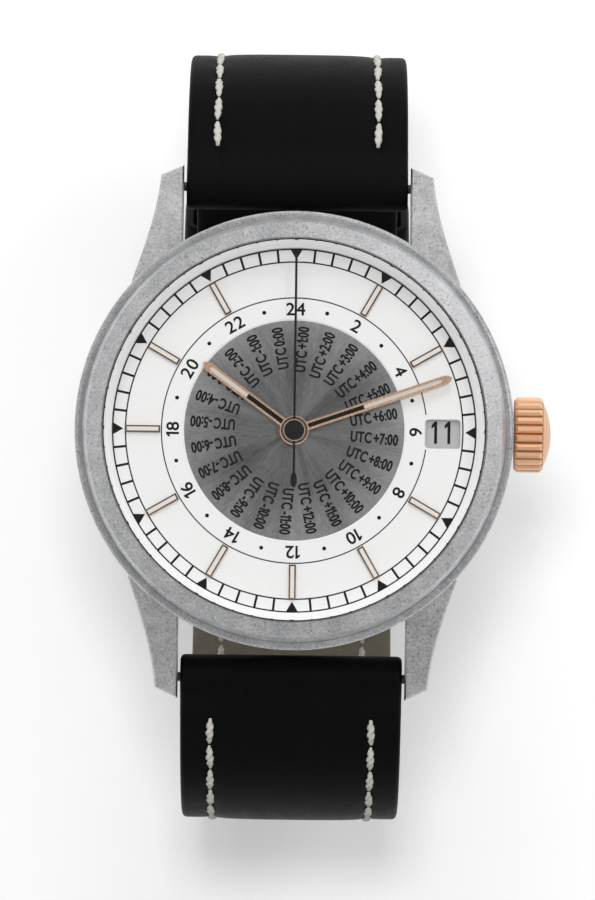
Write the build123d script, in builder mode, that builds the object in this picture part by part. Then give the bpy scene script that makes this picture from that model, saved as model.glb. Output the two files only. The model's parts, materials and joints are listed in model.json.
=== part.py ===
from build123d import *
from math import acos, atan2, cos, degrees, hypot, pi, radians, sin, tan
import os

os.makedirs("parts", exist_ok=True)

# A round world time wristwatch on a leather strap, dial up (+Z), 12 o'clock towards +Y, crown towards +X
# The origin is the centre of the case back's outer face. Lengths are in millimetres, angles in degrees

# General clearances and the one overrun that every cut uses
running_gap = 0.03
seat_gap = 0.02
loose_gap = 0.25
overrun = 5.0

# Heights of the stack, from the case back's outer face to the crystal
back_thickness = 1.5
rotor_gap = 0.4
rotor_weight_height = 1.05
bridge_gap = 0.2
bridge_thickness = 1.2
train_space = 1.75
mainplate_thickness = 1.0
motion_space = 1.0
dial_thickness = 0.4
flange_height = 1.8
crystal_thickness = 1.2
bezel_proud = 0.2

rotor_low = back_thickness + rotor_gap
bridge_low = rotor_low + rotor_weight_height + bridge_gap
train_low = bridge_low + bridge_thickness
plate_low = train_low + train_space
plate_top = plate_low + mainplate_thickness
dial_low = plate_top + motion_space
dial_top = dial_low + dial_thickness
crystal_low = dial_top + flange_height
crystal_top = crystal_low + crystal_thickness
bezel_top = crystal_top - bezel_proud

# Case middle, lugs and bezel
case_radius = 19.25
rim_step = 0.3
case_wall = 3.65
movement_ring_width = 0.6
band_radius = case_radius - rim_step
case_bore_radius = case_radius - case_wall
movement_radius = case_bore_radius - movement_ring_width
band_foot_inset = 0.85
band_foot_height = 0.9
dial_ledge = 0.7
dial_radius = case_bore_radius + dial_ledge
bezel_width = 2.49
bezel_opening_radius = case_radius - bezel_width
bezel_edge_chamfer = 0.15
bezel_slope_width = 1.05
bezel_flat_radius = case_radius - bezel_slope_width
bezel_rim_width = 0.6
bezel_step_radius = case_radius - bezel_rim_width
bezel_crown_drop = 0.25
rim_height = 0.95
rim_round = 0.32
rehaut_inset = 0.33
rehaut_foot_radius = dial_radius - rehaut_inset
rehaut_slope_width = 0.43
rehaut_top_radius = rehaut_foot_radius + rehaut_slope_width
rehaut_rim_width = 0.7
rehaut_outer_radius = rehaut_top_radius + rehaut_rim_width

# Strap thickness at the bars, which sets how far the bars stand from the case
nose_radius = 2.0
nose_case_gap = 0.65
bar_reach = band_radius + nose_radius + nose_case_gap

# Lugs
lug_spacing = 20.0
lug_bar_cover = 1.88
lug_reach = bar_reach + lug_bar_cover
lug_tip_width = 2.0
lug_tip_slant = 0.93
lug_root_depth = 6.25
lug_root_radius = case_radius - lug_root_depth
lug_shoulder_depth = 3.15
lug_shoulder_reach = case_radius - lug_shoulder_depth
lug_shoulder_width = 3.35
lug_shoulder_half_width = lug_spacing / 2 + lug_shoulder_width
lug_waist_setback = 1.1
lug_waist_reach = bar_reach - lug_waist_setback
lug_waist_width = 2.25
lug_waist_half_width = lug_spacing / 2 + lug_waist_width
lug_root_side_depth = 4.85
lug_root_half_width = case_radius - lug_root_side_depth
lug_root_fall = 6.25
lug_root_reach = case_radius - lug_root_fall
lug_belly_depth = 3.95
lug_belly_reach = case_radius - lug_belly_depth
lug_tip_low = 0.7
lug_tip_high = 3.3
lug_tip_round = 0.6
lug_mid_setback = 1.6
lug_mid_reach = bar_reach - lug_mid_setback
lug_mid_height = 6.3
lug_chamfer = 0.14

# Spring bars
bar_height = 3.0
bar_radius = 0.75
bar_tip_radius = 0.4
bar_shoulder_width = 0.3
bar_hole_radius = 0.45
bar_hole_depth = 1.2
bar_tip_length = 0.9
bar_end_gap = 0.05

# Case back, its crystal, gasket and screws
back_inset = 1.25
back_radius = case_radius - back_inset
back_chamfer = 0.3
back_window_radius = 11.8
back_ledge_width = 0.6
back_ledge_height = 0.3
spigot_gap = 0.1
spigot_radius = case_bore_radius - spigot_gap
spigot_wall = 0.5
gasket_inset = 0.32
gasket_radius = case_bore_radius + gasket_inset
gasket_width = 0.26
gasket_height = 0.3
back_screw_count = 6
back_screw_inset = 1.05
back_screw_circle = back_radius - back_screw_inset
back_screw_head_radius = 0.7
back_screw_head_height = 0.5
back_screw_shank_radius = 0.4
back_screw_length = 3.2
screw_slot_width = 0.18
screw_slot_depth = 0.15

# Crystal and its gasket
crystal_gap = 0.18
crystal_radius = bezel_opening_radius - crystal_gap
crystal_chamfer = 0.18
crystal_gasket_height = 0.85

# Dial, date window and hour markers
disc_opening_radius = 9.8
window_length = 3.06
window_width = 2.48
window_corner = 0.3
window_chamfer = 0.1
window_drop = 0.16
marker_inset = 1.5
marker_length = 3.05
marker_outer = dial_radius - marker_inset
marker_inner = marker_outer - marker_length
marker_width = 0.62
marker_height = 0.35
marker_chamfer = 0.12
marker_hours = [1, 2, 4, 5, 6, 7, 8, 9, 10, 11]

# Hands: the time shown is twelve minutes past ten
minute_angle = 90 - 70.8
hour_angle = 90 - 306
second_angle = 90
hour_hand_lift = 0.3
hand_gap = 0.25
hand_thickness = 0.2
hand_chamfer = 0.07
hub_radius = 1.27
hour_hand_gap = 6.3
hour_hand_length = dial_radius - hour_hand_gap
minute_hand_gap = 1.7
minute_hand_length = dial_radius - minute_hand_gap
hour_blade_width = 0.8
minute_blade_width = 0.76
hand_rim = 0.2
hand_tip_length = 0.62
slot_start = 1.9
hour_slot_split = 5.1
minute_slot_split = 6.45
slot_bar = 0.25
hour_nib_length = 0.75
hour_slot_end = hour_hand_length - hour_nib_length
minute_nib_length = 0.9
minute_slot_end = minute_hand_length - minute_nib_length
seconds_gap = 0.75
seconds_length = dial_radius - seconds_gap
seconds_width = 0.2
seconds_thickness = 0.15
seconds_tail_length = 5.0
leaf_centre = 4.33
leaf_length = 1.35
leaf_width = 0.55
seconds_cap_radius = 1.01
seconds_cap_height = 0.3
cap_chamfer = 0.1

# Movement: plates and bridges
plate_radius = movement_radius - seat_gap
plate_wall = 0.77
bridge_inset = 0.2
bridge_radius = movement_radius - bridge_inset
bridge_split_gap = 0.3
keyless_gap = 0.08
pillar_radius = 0.95
pillar_inset = 1.6
pillar_circle = movement_radius - pillar_inset
screw_head_radius = 0.75
screw_head_height = 0.35
screw_shank_radius = 0.38
screw_bite = 0.6
arbor_radius = 0.14
jewel_radius = 0.4
jewel_thickness = 0.35
date_seat_width = 2.4
date_seat_inner = movement_radius - date_seat_width
date_seat_height = 0.6

# Movement: wheel train. Teeth are counts, modules set the sizes
barrel_teeth = 84
barrel_module = 0.125
second_pinion_teeth = 12
second_teeth = 80
second_module = 0.08
third_pinion_teeth = 10
third_teeth = 75
third_module = 0.075
fourth_pinion_teeth = 10
fourth_teeth = 84
fourth_module = 0.068
escape_pinion_teeth = 7
escape_teeth = 20
escape_radius = 1.9
barrel_distance = 8.7
barrel_bearing = 50
third_bearing = 140
escape_bearing = -80
balance_distance = 9.2
balance_bearing = -68
wheel_thickness = 0.15
pinion_height = 0.3
wheel_hub_radius = 0.45
wheel_rim_width = 0.35
wheel_arms = 4
wheel_arm_width = 0.28
addendum_share = 0.9
dedendum_share = 1.2
low_level = 0.25
middle_level = 0.8
high_level = 1.35
barrel_height = 1.05
barrel_wall = 0.2
barrel_tooth_height = 0.3
barrel_tooth_level = 0.6
barrel_low_gap = 0.15
barrel_arbor_radius = 0.9
spring_thickness = 0.12
spring_start = 1.2
spring_turns = 8
ratchet_teeth = 88
crown_wheel_teeth = 53
keyless_thickness = 0.33
click_radius = 0.6
click_bearing = 20
click_inset = 1.9
click_circle = movement_radius - click_inset
click_gap = 0.05
contrate_radius = 2.35
contrate_width = 0.5
contrate_teeth = 42
contrate_tooth_height = 0.15

# Movement: balance and pallet fork
balance_radius = 4.3
balance_rim_width = 0.45
balance_thickness = 0.22
balance_level = 0.7
cock_thickness = 0.35
cock_width = 2.0
cock_foot_radius = 1.2
cock_foot_inset = 2.1
cock_foot_distance = movement_radius - cock_foot_inset
cock_foot_bearing = -101
stud_radius = 0.2
hairspring_level = 0.42
hairspring_height = 0.14
hairspring_thickness = 0.06
hairspring_pitch = 0.3
hairspring_turns = 7
hairspring_start = 0.5
roller_radius = 0.55
pallet_distance = 2.72
pallet_body_width = 0.5
pallet_half_span = 36
pallet_fork_gap = 0.1
impulse_pin_radius = 0.06
impulse_pin_place = 0.42
pallet_bridge_thickness = 0.22
pallet_clearance = 0.17
pallet_foot_distance = 2.2
pallet_foot_radius = 0.5
lever_width = 0.22
roller_thickness = 0.15
escape_depth = 0.4
escape_shares = (0.3, 0.05)

# Motion work, under the dial
motion_module = 0.105
cannon_teeth = 12
minute_wheel_teeth = 36
minute_pinion_teeth = 10
hour_teeth = 40
day_teeth = 80
motion_wheel_thickness = 0.16
motion_step = 0.24
motion_gap = 0.05
day_flange = 0.5
tube_bore_radius = 0.17
tube_radius = 0.3
cannon_radius = 0.5
hour_pipe_radius = 0.76
day_pipe_radius = 1.1
disc_radius = 9.74
disc_drop = 0.1
disc_thickness = 0.28
minute_post_radius = 0.12

# Date disc and its jumper
date_disc_inset = 0.15
date_disc_width = 2.95
date_disc_outer = movement_radius - date_disc_inset
date_disc_inner = date_disc_outer - date_disc_width
window_inset = 1.82
window_centre = date_disc_outer - window_inset
date_disc_thickness = 0.2
date_teeth = 31
date_tooth_height = 0.5
jumper_width = 0.5
jumper_length = 2.6
jumper_bearing = 60
date_gap_shares = (0.2, 0.4)

# Rotor
rotor_inset = 0.7
rotor_radius = movement_radius - rotor_inset
rotor_weight_width = 3.9
rotor_weight_inner = rotor_radius - rotor_weight_width
rotor_plate_thickness = 0.3
rotor_post_radius = 1.0
rotor_hub_radius = 2.3
rotor_rim_width = 0.9
rotor_spoke_width = 1.6
rotor_cap_height = 0.25
rotor_flange = 0.4
rotor_plate_rise = 0.6
rotor_spoke_bearings = (-150, -90, -30)
rotor_weight_chamfer = 0.2

# Crown, tube and stem, on the axis through 3 o'clock
crown_radius = 3.3
crown_gap = 0.05
crown_start = case_radius + crown_gap
crown_length = 2.55
crown_dome = 0.7
crown_dome_radius = 2.85
crown_chamfer = 0.3
crown_flutes = 24
flute_width = 0.42
crown_bore_radius = 1.65
crown_bore_depth = 2.0
tube_outer_radius = 1.3
tube_inner_radius = 0.5
tube_proud = 1.65
gasket_wire_radius = 0.15
gasket_place = 0.35
stem_radius = 0.4
stem_pilot_radius = 0.25
stem_pilot_depth = 4.4
stem_pilot_start = movement_radius - stem_pilot_depth
stem_depth = 6.3
stem_end = movement_radius - stem_depth
pilot_block_depth = 5.25
pilot_block_start = movement_radius - pilot_block_depth
pilot_block_length = 0.8
pilot_block_width = 1.2
pilot_block_wall = 0.25
stem_seat = 0.6
winding_pinion_depth = 2.4
winding_pinion_start = movement_radius - winding_pinion_depth
winding_pinion_length = 1.2
sliding_pinion_depth = 4.1
sliding_pinion_start = movement_radius - sliding_pinion_depth
sliding_pinion_length = 1.35
stem_pinion_teeth = 13
stem_pinion_radius = 0.78

# Strap: both halves leave the spring bars, bend down and curl into a standing loop
strap_side_gap = 0.25
strap_start_width = lug_spacing - 2 * strap_side_gap
strap_end_width = 18.0
strap_slope = 20
strap_lead = 4.0
shoulder_radius = 11.0
leather_thickness = 1.35
lining_thickness = 0.95
layer_gap = 0.04
nose_bore_radius = 0.85
nose_wrap = 3.6
loop_flat = 7.0
loop_depth = 44.3
buckle_bar_reach = -3.0
buckle_bar_sink = 0.2
buckle_loop_radius = 1.45
buckle_fold = 4.2
tail_gap = 2.56
tail_bend_radius = 22.6
tail_rise = 7.5
tail_tip_length = 7.0
tail_tip_width = 3.0
hole_count = 7
hole_pitch = 6.0
hole_radius = 0.8
first_hole = 10.5
tongue_slot_width = 2.6
tongue_slot_reach = 1.7
strap_bore_gap = 0.05

# Buckle and keepers
buckle_bar_radius = 0.7
buckle_bar_tip_radius = 0.42
buckle_tilt = 20
buckle_arm_width = 1.7
buckle_side_gap = 0.3
buckle_length = 9.8
buckle_rim_width = 2.3
buckle_thickness = 1.8
buckle_ear_radius = 1.15
buckle_corner = 1.4
buckle_tip_depth = 1.0
tongue_width = 1.9
tongue_thickness = 0.85
tongue_collar_wall = 0.5
tongue_collar_width = 2.0
tongue_groove_depth = 0.5
tongue_short = 0.25
keeper_wall = 0.9
keeper_width = 4.5
keeper_side = 0.15
keeper_gap = 0.25
keeper_start = 1.2
keeper_angle = 28

# Worked-out places
stem_height = (train_low + plate_low) / 2
wall_inner_radius = plate_radius - plate_wall
slope_run = strap_lead * cos(radians(strap_slope))
slope_fall = strap_lead * sin(radians(strap_slope))
shoulder_reach = bar_reach + slope_run + shoulder_radius * (1 - sin(radians(strap_slope)))
loop_low = bar_height - loop_depth
loop_radius = shoulder_reach - loop_flat
loop_centre_height = loop_low + loop_radius


def polar(distance, bearing):
    """Return the x and y of a place given by its distance and bearing from the dial's centre."""
    return (distance * cos(radians(bearing)), distance * sin(radians(bearing)))


def bearing_of(start, end):
    """Return the bearing from one place to another."""
    return degrees(atan2(end[1] - start[1], end[0] - start[0]))


def meeting_place(first, first_distance, second, second_distance):
    """Return the place at the two given distances from two others, on the left of the line between them."""
    apart = hypot(second[0] - first[0], second[1] - first[1])
    along = (first_distance**2 - second_distance**2 + apart**2) / (2 * apart)
    turn = bearing_of(first, second) + degrees(acos(along / first_distance))
    step = polar(first_distance, turn)
    return (first[0] + step[0], first[1] + step[1])


def arm_plane(place, bearing, level):
    """Return a level plane at a place, with its first axis along a bearing."""
    direction = polar(1, bearing)
    return Plane(origin=(place[0], place[1], level), x_dir=(direction[0], direction[1], 0), z_dir=(0, 0, 1))


def partner_phase(teeth, phase, bearing, partner_teeth):
    """Return where a meshing wheel's tooth points, so that its gap takes the first wheel's tooth."""
    lag = (phase - bearing) % (360 / teeth)
    return bearing + 180 - lag * teeth / partner_teeth + 180 / partner_teeth


def toothed_outline(teeth, root, tip, centre, phase, root_share=0.29, tip_share=0.13):
    """Return the corners of a toothed wheel, four to a tooth."""
    corners = []
    for count in range(teeth):
        for share, radius in ((-root_share, root), (-tip_share, tip), (tip_share, tip), (root_share, root)):
            spot = polar(radius, phase + 360 * (count + share) / teeth)
            corners.append((centre[0] + spot[0], centre[1] + spot[1]))
    return corners


def gear_face(teeth, module, centre, phase, level):
    """Return a spur wheel's face: its pitch radius is half of teeth times module."""
    pitch_radius = teeth * module / 2
    with BuildSketch(Plane.XY.offset(level)) as face:
        with BuildLine():
            root = pitch_radius - dedendum_share * module
            tip = pitch_radius + addendum_share * module
            Polyline(toothed_outline(teeth, root, tip, centre, phase), close=True)
        make_face()
    return face.sketch


def wheel_windows(inner, outer, centre, level):
    """Return the open spaces between a wheel's arms."""
    with BuildSketch(Plane.XY.offset(level)) as face:
        with Locations(centre):
            Circle(outer)
            Circle(inner, mode=Mode.SUBTRACT)
            with PolarLocations(0, wheel_arms):
                Rectangle(2 * outer, wheel_arm_width, mode=Mode.SUBTRACT)
    return face.sketch


def disc_face(radius, level, centre=(0, 0)):
    """Return a round face at a height."""
    with BuildSketch(Plane.XY.offset(level)) as face:
        with Locations(centre):
            Circle(radius)
    return face.sketch


def spiral_face(start_radius, pitch, turns, thickness, plane):
    """Return a flat spiral strip made of half circles on two centres."""
    with BuildSketch(plane) as face:
        with BuildLine():
            for half in range(2 * turns):
                radius = start_radius + half * pitch / 2
                middle = (-(half % 2) * pitch / 2, 0)
                CenterArc(middle, radius, 180 + 180 * (half % 2), 180)
                CenterArc(middle, radius + thickness, 180 + 180 * (half % 2), 180)
            last = -start_radius - turns * pitch
            Line((-start_radius, 0), (-start_radius - thickness, 0))
            Line((last, 0), (last - thickness, 0))
        make_face()
    return face.sketch


def revolved_profile(points, plane=Plane.XZ):
    """Return the face of a turned piece from its outline in radius and height."""
    with BuildSketch(plane) as face:
        with BuildLine():
            Polyline(points, close=True)
        make_face()
    return face.sketch


pieces = {}

# Lugs: one blank is the plan outline cut to the side outline, then mirrored to all four corners
with BuildPart() as lug_blank:
    with BuildSketch():
        with BuildLine():
            Polyline(
                (lug_spacing / 2, lug_root_radius / 2),
                (lug_spacing / 2, lug_reach),
                (lug_spacing / 2 + lug_tip_width, lug_reach - lug_tip_slant),
            )
            Spline(
                (lug_spacing / 2 + lug_tip_width, lug_reach - lug_tip_slant),
                (lug_waist_half_width, lug_waist_reach),
                (lug_shoulder_half_width, lug_shoulder_reach),
                (lug_root_half_width, lug_root_reach),
            )
            Polyline(
                (lug_root_half_width, lug_root_reach),
                (lug_root_radius, lug_root_radius / 2),
                (lug_spacing / 2, lug_root_radius / 2),
            )
        make_face()
    extrude(amount=dial_top)
    with BuildSketch(Plane.YZ):
        with BuildLine():
            ThreePointArc(
                (lug_reach, lug_tip_high),
                (lug_mid_reach, lug_mid_height),
                (lug_root_radius, dial_top - seat_gap),
            )
            Polyline(
                (lug_root_radius, dial_top - seat_gap),
                (lug_root_radius / 2, dial_top - seat_gap),
                (lug_root_radius / 2, back_thickness),
                (lug_belly_reach, back_thickness),
                (lug_reach - lug_tip_round, lug_tip_low),
                (lug_reach, lug_tip_low + lug_tip_round),
                (lug_reach, lug_tip_high),
            )
        make_face()
    extrude(amount=lug_root_half_width + overrun, mode=Mode.INTERSECT)
    lug_tops = lug_blank.faces().sort_by(Axis.Z)[-2:]
    chamfer(lug_tops.edges().filter_by(lambda e: e.center().Y > lug_root_radius), lug_chamfer)
    mirror(about=Plane.XZ)
    mirror(about=Plane.YZ)

# Case middle: a turned ring with the four lugs, bored for the movement, the bars, the tube and the screws
with BuildPart() as case_middle:
    add(lug_blank.part)
    revolve(
        revolved_profile(
            [
                (case_bore_radius / 2, back_thickness),
                (band_radius - band_foot_inset, back_thickness),
                (band_radius, back_thickness + band_foot_height),
                (band_radius, dial_top),
                (case_bore_radius / 2, dial_top),
            ]
        ),
        axis=Axis.Z,
    )
    case_bore = disc_face(case_bore_radius, back_thickness - overrun)
    extrude(case_bore, amount=2 * overrun + dial_low, mode=Mode.SUBTRACT)
    extrude(disc_face(dial_radius + seat_gap, dial_low), amount=overrun, mode=Mode.SUBTRACT)
    with BuildSketch(Plane.YZ.offset(case_bore_radius - overrun)):
        with Locations((0, stem_height)):
            Circle(tube_outer_radius + seat_gap)
    extrude(amount=case_radius, mode=Mode.SUBTRACT)
    for side in (-1, 1):
        with BuildSketch(Plane.YZ.offset(side * (lug_spacing / 2 - overrun))):
            with Locations((bar_reach, bar_height), (-bar_reach, bar_height)):
                Circle(bar_hole_radius)
        extrude(amount=side * (overrun + bar_hole_depth), mode=Mode.SUBTRACT)
    with BuildSketch(Plane.XY.offset(back_thickness - overrun)):
        with PolarLocations(back_screw_circle, back_screw_count):
            Circle(back_screw_shank_radius + seat_gap)
    extrude(amount=overrun + back_screw_length - back_thickness + loose_gap, mode=Mode.SUBTRACT)
pieces["case_middle"] = case_middle

# Bezel: a turned ring with a flat top, a steep step and a rounded lower rim
with BuildPart() as bezel:
    with BuildSketch(Plane.XZ):
        with BuildLine():
            Polyline(
                (case_radius, dial_top + rim_round),
                (case_radius, dial_top + rim_height - rim_round),
            )
            RadiusArc(
                (case_radius, dial_top + rim_height - rim_round),
                (case_radius - rim_round, dial_top + rim_height),
                -rim_round,
            )
            Polyline(
                (case_radius - rim_round, dial_top + rim_height),
                (bezel_step_radius, dial_top + rim_height),
                (bezel_flat_radius, bezel_top - bezel_crown_drop),
                (bezel_opening_radius + bezel_edge_chamfer, bezel_top),
                (bezel_opening_radius, bezel_top - bezel_edge_chamfer),
                (bezel_opening_radius, crystal_low),
                (rehaut_outer_radius + seat_gap, crystal_low),
                (rehaut_outer_radius + seat_gap, dial_top),
                (case_radius - rim_round, dial_top),
            )
            RadiusArc(
                (case_radius - rim_round, dial_top),
                (case_radius, dial_top + rim_round),
                -rim_round,
            )
        make_face()
    revolve(axis=Axis.Z)
pieces["bezel"] = bezel

# Crystal and the thin gasket ring around it
with BuildPart() as crystal:
    extrude(disc_face(crystal_radius, crystal_low), amount=crystal_thickness)
    chamfer(crystal.faces().sort_by(Axis.Z)[-1].edges(), crystal_chamfer)
pieces["crystal"] = crystal

with BuildPart() as crystal_gasket:
    extrude(disc_face(bezel_opening_radius - seat_gap, crystal_low), amount=crystal_gasket_height)
    extrude(
        disc_face(crystal_radius + seat_gap, crystal_low - overrun),
        amount=2 * overrun + crystal_gasket_height,
        mode=Mode.SUBTRACT,
    )
pieces["crystal_gasket"] = crystal_gasket

# Sloped ring between the dial and the crystal
with BuildPart() as rehaut_ring:
    revolve(
        revolved_profile(
            [
                (rehaut_foot_radius, dial_top),
                (rehaut_top_radius, crystal_low),
                (rehaut_outer_radius, crystal_low),
                (rehaut_outer_radius, dial_top),
            ]
        ),
        axis=Axis.Z,
    )
pieces["rehaut_ring"] = rehaut_ring

# Dial: a plate open in the middle for the turning disc, with the date window
with BuildPart() as dial:
    extrude(disc_face(dial_radius, dial_low), amount=dial_thickness)
    extrude(disc_face(disc_opening_radius, dial_low - overrun), amount=2 * overrun, mode=Mode.SUBTRACT)
    with BuildSketch(Plane.XY.offset(dial_low - overrun)):
        with Locations((window_centre, -window_drop)):
            RectangleRounded(window_length, window_width, window_corner)
    extrude(amount=2 * overrun, mode=Mode.SUBTRACT)
    dial_edges = dial.faces().sort_by(Axis.Z)[-1].edges().filter_by(lambda e: e.length < dial_radius)
    window_edges = dial_edges.filter_by(lambda e: e.center().X > disc_opening_radius)
    chamfer(window_edges.filter_by(lambda e: abs(e.center().Y) < window_width), window_chamfer)
pieces["dial"] = dial

# Hour markers: a bevelled baton at each hour but the top one and the one that the window takes
with BuildPart() as hour_markers:
    for hour in marker_hours:
        with BuildSketch(Plane.XY.offset(dial_top).rotated((0, 0, 90 - 30 * hour))):
            with Locations(((marker_inner + marker_outer) / 2, 0)):
                Rectangle(marker_outer - marker_inner, marker_width)
        extrude(amount=marker_height)
    chamfer(hour_markers.faces().filter_by(Plane.XY).group_by(Axis.Z)[-1].edges(), marker_chamfer)
pieces["hour_markers"] = hour_markers

# Case back: a screwed ring around a window, with a spigot that centres it
with BuildPart() as case_back:
    revolve(
        revolved_profile(
            [
                (back_window_radius, 0),
                (back_radius - back_chamfer, 0),
                (back_radius, back_chamfer),
                (back_radius, back_thickness),
                (spigot_radius, back_thickness),
                (spigot_radius, train_low),
                (spigot_radius - spigot_wall, train_low),
                (spigot_radius - spigot_wall, back_thickness),
                (back_window_radius - back_ledge_width, back_thickness),
                (back_window_radius - back_ledge_width, back_thickness - back_ledge_height),
                (back_window_radius, back_thickness - back_ledge_height),
            ]
        ),
        axis=Axis.Z,
    )
    groove_inner = gasket_radius - gasket_width / 2 - seat_gap
    with BuildSketch(Plane.XY.offset(back_thickness - gasket_height)):
        Circle(groove_inner + gasket_width + 2 * seat_gap)
        Circle(groove_inner, mode=Mode.SUBTRACT)
    extrude(amount=overrun, mode=Mode.SUBTRACT)
    with BuildSketch(Plane.XY.offset(-overrun)):
        with PolarLocations(back_screw_circle, back_screw_count):
            Circle(back_screw_shank_radius + seat_gap)
    extrude(amount=2 * overrun, mode=Mode.SUBTRACT)
    with BuildSketch(Plane.XY.offset(back_screw_head_height)):
        with PolarLocations(back_screw_circle, back_screw_count):
            Circle(back_screw_head_radius + seat_gap)
    extrude(amount=-overrun, mode=Mode.SUBTRACT)
pieces["case_back"] = case_back

with BuildPart() as back_crystal:
    extrude(disc_face(back_window_radius - seat_gap, 0), amount=back_thickness - back_ledge_height)
    chamfer(back_crystal.faces().sort_by(Axis.Z)[0].edges(), back_chamfer / 2)
pieces["back_crystal"] = back_crystal

with BuildPart() as case_back_gasket:
    with BuildSketch(Plane.XY.offset(back_thickness - gasket_height)):
        Circle(gasket_radius + gasket_width / 2)
        Circle(gasket_radius - gasket_width / 2, mode=Mode.SUBTRACT)
    extrude(amount=gasket_height)
pieces["case_back_gasket"] = case_back_gasket

with BuildPart() as case_back_screws:
    with BuildSketch(Plane.XY):
        with PolarLocations(back_screw_circle, back_screw_count):
            Circle(back_screw_head_radius)
    extrude(amount=back_screw_head_height)
    with BuildSketch(Plane.XY):
        with PolarLocations(back_screw_circle, back_screw_count):
            Circle(back_screw_shank_radius)
    extrude(amount=back_screw_length)
    with BuildSketch(Plane.XY.offset(-overrun)):
        with PolarLocations(back_screw_circle, back_screw_count):
            Rectangle(screw_slot_width, 2 * back_screw_head_radius + loose_gap)
    extrude(amount=overrun + screw_slot_depth, mode=Mode.SUBTRACT)
pieces["case_back_screws"] = case_back_screws

# Ring that holds the movement in the case
with BuildPart() as movement_ring:
    with BuildSketch(Plane.XY.offset(train_low)):
        Circle(case_bore_radius - seat_gap)
        Circle(movement_radius + seat_gap, mode=Mode.SUBTRACT)
    extrude(amount=dial_low - train_low)
    with BuildSketch(Plane.YZ.offset(movement_radius - overrun)):
        with Locations((0, stem_height)):
            Circle(stem_radius + loose_gap)
    extrude(amount=2 * overrun, mode=Mode.SUBTRACT)
pieces["movement_ring"] = movement_ring

# Train places, each found from the one before it
centre_place = (0, 0)
barrel_place = polar(barrel_distance, barrel_bearing)
third_distance = third_module * (third_teeth + fourth_pinion_teeth) / 2
third_place = polar(third_distance, third_bearing)
second_distance = second_module * (second_teeth + third_pinion_teeth) / 2
barrel_reach = barrel_module * (barrel_teeth + second_pinion_teeth) / 2
second_place = meeting_place(third_place, second_distance, barrel_place, barrel_reach)
escape_distance = fourth_module * (fourth_teeth + escape_pinion_teeth) / 2
escape_place = polar(escape_distance, escape_bearing)
balance_place = polar(balance_distance, balance_bearing)
pallet_bearing = bearing_of(escape_place, balance_place)
pallet_step = polar(pallet_distance, pallet_bearing)
pallet_place = (escape_place[0] + pallet_step[0], escape_place[1] + pallet_step[1])
motion_distance = motion_module * (cannon_teeth + minute_wheel_teeth) / 2
minute_place = meeting_place(centre_place, motion_distance, second_place, motion_distance)
crown_wheel_place = (winding_pinion_start + winding_pinion_length / 2 - contrate_radius, 0)
keyless_reach = hypot(crown_wheel_place[0] - barrel_place[0], crown_wheel_place[1] - barrel_place[1])
keyless_module = 2 * keyless_reach / (ratchet_teeth + crown_wheel_teeth)
ratchet_radius = ratchet_teeth * keyless_module / 2 + keyless_module
crown_wheel_radius = crown_wheel_teeth * keyless_module / 2 + keyless_module
cock_foot_place = polar(cock_foot_distance, cock_foot_bearing)
train_pillars = [polar(pillar_circle, bearing) for bearing in (118, 165, 205, 238)]
barrel_pillars = [polar(pillar_circle, bearing) for bearing in (94, -19)]
train_pivots = [third_place, escape_place]
contrate_outer = contrate_radius + contrate_width / 2
click_place = polar(click_circle, click_bearing)
click_distance = hypot(click_place[0] - barrel_place[0], click_place[1] - barrel_place[1])

# Mainplate: a plate with a wall that the bridges rest on, pillars, a raised date seat and the centre tube
with BuildPart() as mainplate:
    extrude(disc_face(plate_radius, train_low), amount=plate_top - train_low)
    train_room = disc_face(wall_inner_radius, train_low - overrun)
    extrude(train_room, amount=overrun + train_space, mode=Mode.SUBTRACT)
    with BuildSketch(Plane.XY.offset(train_low)):
        with Locations(*train_pillars, *barrel_pillars):
            Circle(pillar_radius)
    extrude(amount=train_space)
    with BuildSketch(Plane.XY.offset(plate_top)):
        Circle(plate_radius)
        Circle(date_seat_inner, mode=Mode.SUBTRACT)
    extrude(amount=date_seat_height)
    extrude(disc_face(tube_radius, plate_top), amount=dial_top + hour_hand_lift - plate_top)
    extrude(
        disc_face(minute_post_radius, plate_top, minute_place),
        amount=3 * motion_step + loose_gap / 2,
    )
    extrude(disc_face(tube_bore_radius, train_low), amount=2 * overrun, mode=Mode.SUBTRACT)
    with BuildSketch(Plane.XY.offset(plate_low)):
        with Locations(third_place, second_place, escape_place, pallet_place, balance_place):
            Circle(arbor_radius + running_gap)
    extrude(amount=mainplate_thickness, mode=Mode.SUBTRACT)
    extrude(
        disc_face(barrel_arbor_radius / 2 + running_gap, plate_low, barrel_place),
        amount=mainplate_thickness / 2,
        mode=Mode.SUBTRACT,
    )
    with BuildSketch(Plane.XY.offset(train_low)):
        with Locations(*train_pillars, *barrel_pillars):
            Circle(screw_shank_radius + seat_gap)
    extrude(amount=screw_bite + loose_gap, mode=Mode.SUBTRACT)
    with BuildSketch(Plane.YZ.offset(stem_pilot_start)):
        with Locations((0, stem_height)):
            Circle(stem_radius + running_gap)
    extrude(amount=overrun, mode=Mode.SUBTRACT)
    block_low = stem_height - stem_pilot_radius - pilot_block_wall
    with BuildSketch(Plane.XY.offset(block_low)):
        with Locations((pilot_block_start, 0)):
            Rectangle(pilot_block_length, pilot_block_width, align=(Align.MIN, Align.CENTER))
    extrude(amount=plate_low - block_low)
    with BuildSketch(Plane.YZ.offset(pilot_block_start)):
        with Locations((0, stem_height)):
            Circle(stem_pilot_radius + running_gap)
    extrude(amount=pilot_block_length, mode=Mode.SUBTRACT)
pieces["mainplate"] = mainplate

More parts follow.
